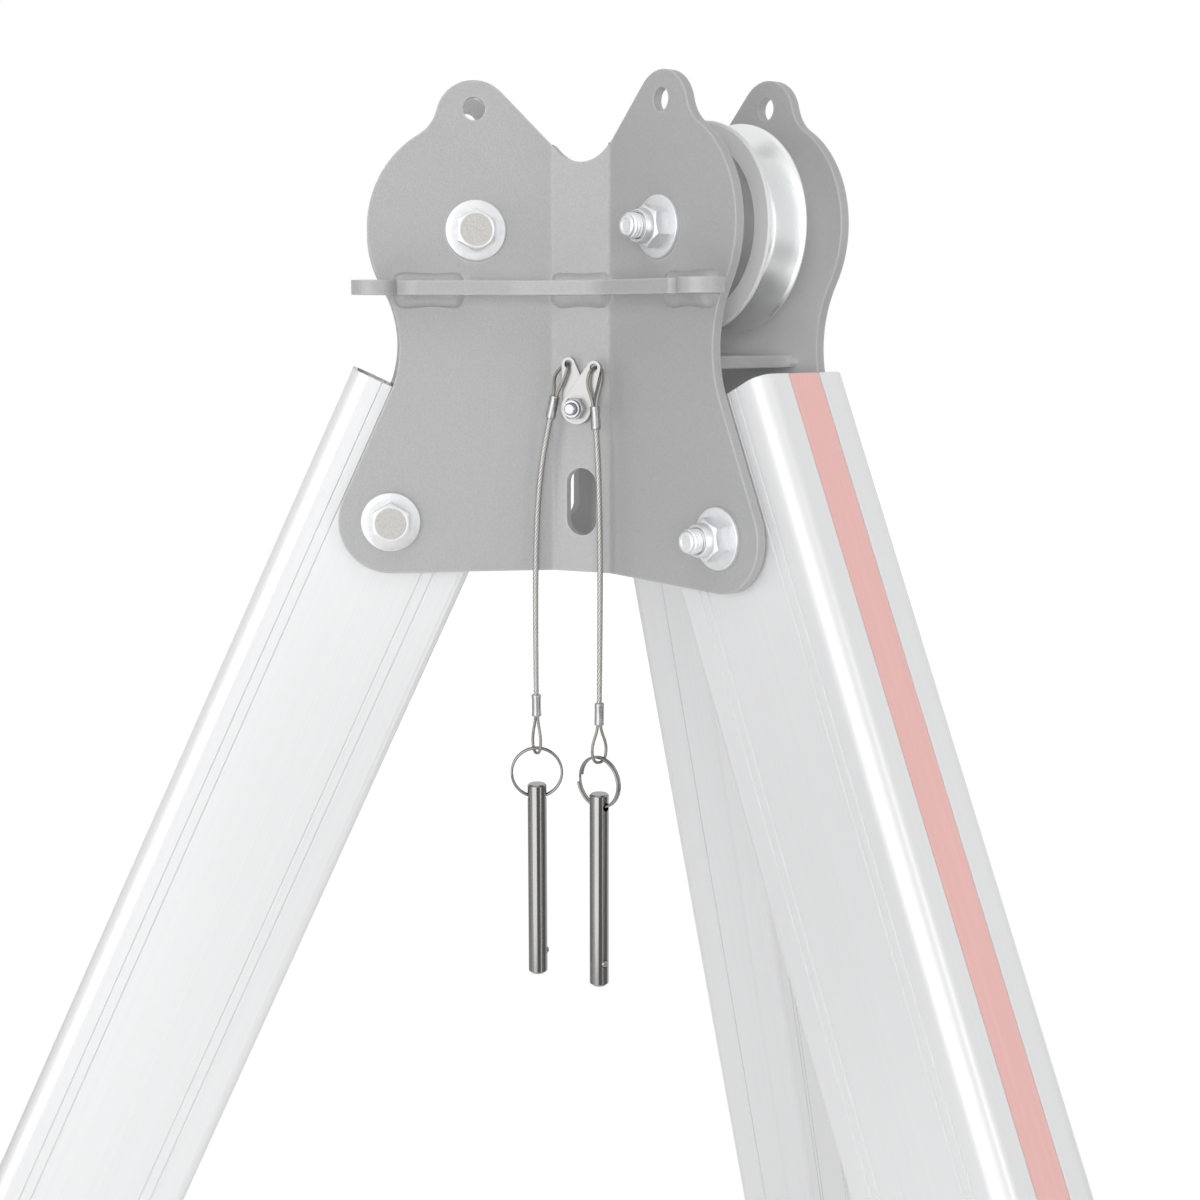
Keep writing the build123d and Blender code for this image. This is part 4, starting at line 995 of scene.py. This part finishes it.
world = bpy.data.worlds.new("studio")
bpy.context.scene.world = world
world.use_nodes = True
tree = world.node_tree
seen = tree.nodes.new("ShaderNodeLightPath")
shown = tree.nodes.new("ShaderNodeMath")
shown.operation = "MAXIMUM"
through = tree.nodes.new("ShaderNodeMath")
through.operation = "MAXIMUM"
bright = tree.nodes.new("ShaderNodeMapRange")
bright.inputs["To Min"].default_value = fill_light
bright.inputs["To Max"].default_value = surround_white
tree.links.new(seen.outputs["Is Camera Ray"], shown.inputs[0])
tree.links.new(seen.outputs["Is Glossy Ray"], shown.inputs[1])
tree.links.new(shown.outputs[0], through.inputs[0])
tree.links.new(seen.outputs["Is Transmission Ray"], through.inputs[1])
tree.links.new(through.outputs[0], bright.inputs["Value"])
surround = tree.nodes["Background"]
surround.inputs["Color"].default_value = (1, 1, 1, 1)
tree.links.new(bright.outputs["Result"], surround.inputs["Strength"])


def soft_box(name, azimuth, distance, rise, wide, tall, power, in_gloss=True):
    """Area lamp round the head, facing it and out of the picture, also out of reflections if wished."""
    data = bpy.data.lights.new(name, "AREA")
    data.shape = "RECTANGLE"
    data.size = wide
    data.size_y = tall
    data.energy = power
    lamp = bpy.data.objects.new(name, data)
    bpy.context.scene.collection.objects.link(lamp)
    lamp.location = heading(azimuth) * distance + Vector((0, 0, pivot_height + rise))
    aim = Vector((0, 0, pivot_height)) - lamp.location
    lamp.rotation_euler = aim.to_track_quat("-Z", "Y").to_euler()
    lamp.visible_camera = False
    lamp.visible_glossy = in_gloss


def grey_card(name, azimuth, wide, grey):
    """Low card standing on the floor round the head, which only shiny surfaces show."""
    bpy.ops.object.select_all(action="DESELECT")
    bpy.ops.mesh.primitive_plane_add(size=1.0)
    card = bpy.context.view_layer.objects.active
    card.name = name
    card.scale = (wide, card_tall, 1)
    card.rotation_euler = (radians(90), 0, radians(azimuth + 90))
    card.location = heading(azimuth) * card_distance + Vector((0, 0, card_tall / 2))
    bpy.ops.object.transform_apply(location=True, rotation=True, scale=True)
    paper, tree, shader = new_finish(f"{name}_paper")
    shader.inputs["Base Color"].default_value = (0, 0, 0, 1)
    shader.inputs["Emission Color"].default_value = (grey, grey, grey, 1)
    shader.inputs["Emission Strength"].default_value = 1.0
    card.data.materials.append(paper)
    card.visible_camera = False
    card.visible_diffuse = False
    card.visible_transmission = False
    card.visible_shadow = False


soft_box("key_box", 261, 2.4, 0.1, 2.2, 2.6, 28.0)
soft_box("side_box", 339, 2.4, 0.0, 0.6, 2.6, 8.0)
soft_box("front_box", 293, 2.8, 0.25, 1.0, 1.0, 25.0, in_gloss=False)
soft_box("high_box", 285, 1.4, 2.0, 1.4, 1.4, 12.0, in_gloss=False)
soft_box("right_box", 45, 2.4, 0.4, 1.2, 1.2, 14.0, in_gloss=False)
soft_box("back_box", 100, 2.6, 0.6, 1.6, 1.6, 10.0, in_gloss=False)
soft_box("left_box", 152, 2.4, 0.4, 1.2, 1.2, 16.0, in_gloss=False)
grey_card("left_card", 181, 2.9, 0.55)
grey_card("front_card", 307, 1.6, 0.25)
grey_card("right_card", 16, 2.0, 0.25)

camera_data = bpy.data.cameras.new("camera")
camera_data.sensor_width = 36.0
camera_data.lens = 50.85
camera = bpy.data.objects.new("camera", camera_data)
bpy.context.scene.collection.objects.link(camera)
camera.location = (0.33405, -0.8385, pivot_height + 0.10165)
camera_tilt = radians(-9.459)
view_line = heading(112.348) * cos(camera_tilt) + Vector((0, 0, sin(camera_tilt)))
camera.rotation_euler = view_line.to_track_quat("-Z", "Y").to_euler()
bpy.context.scene.camera = camera
bpy.context.scene.view_settings.view_transform = "Standard"
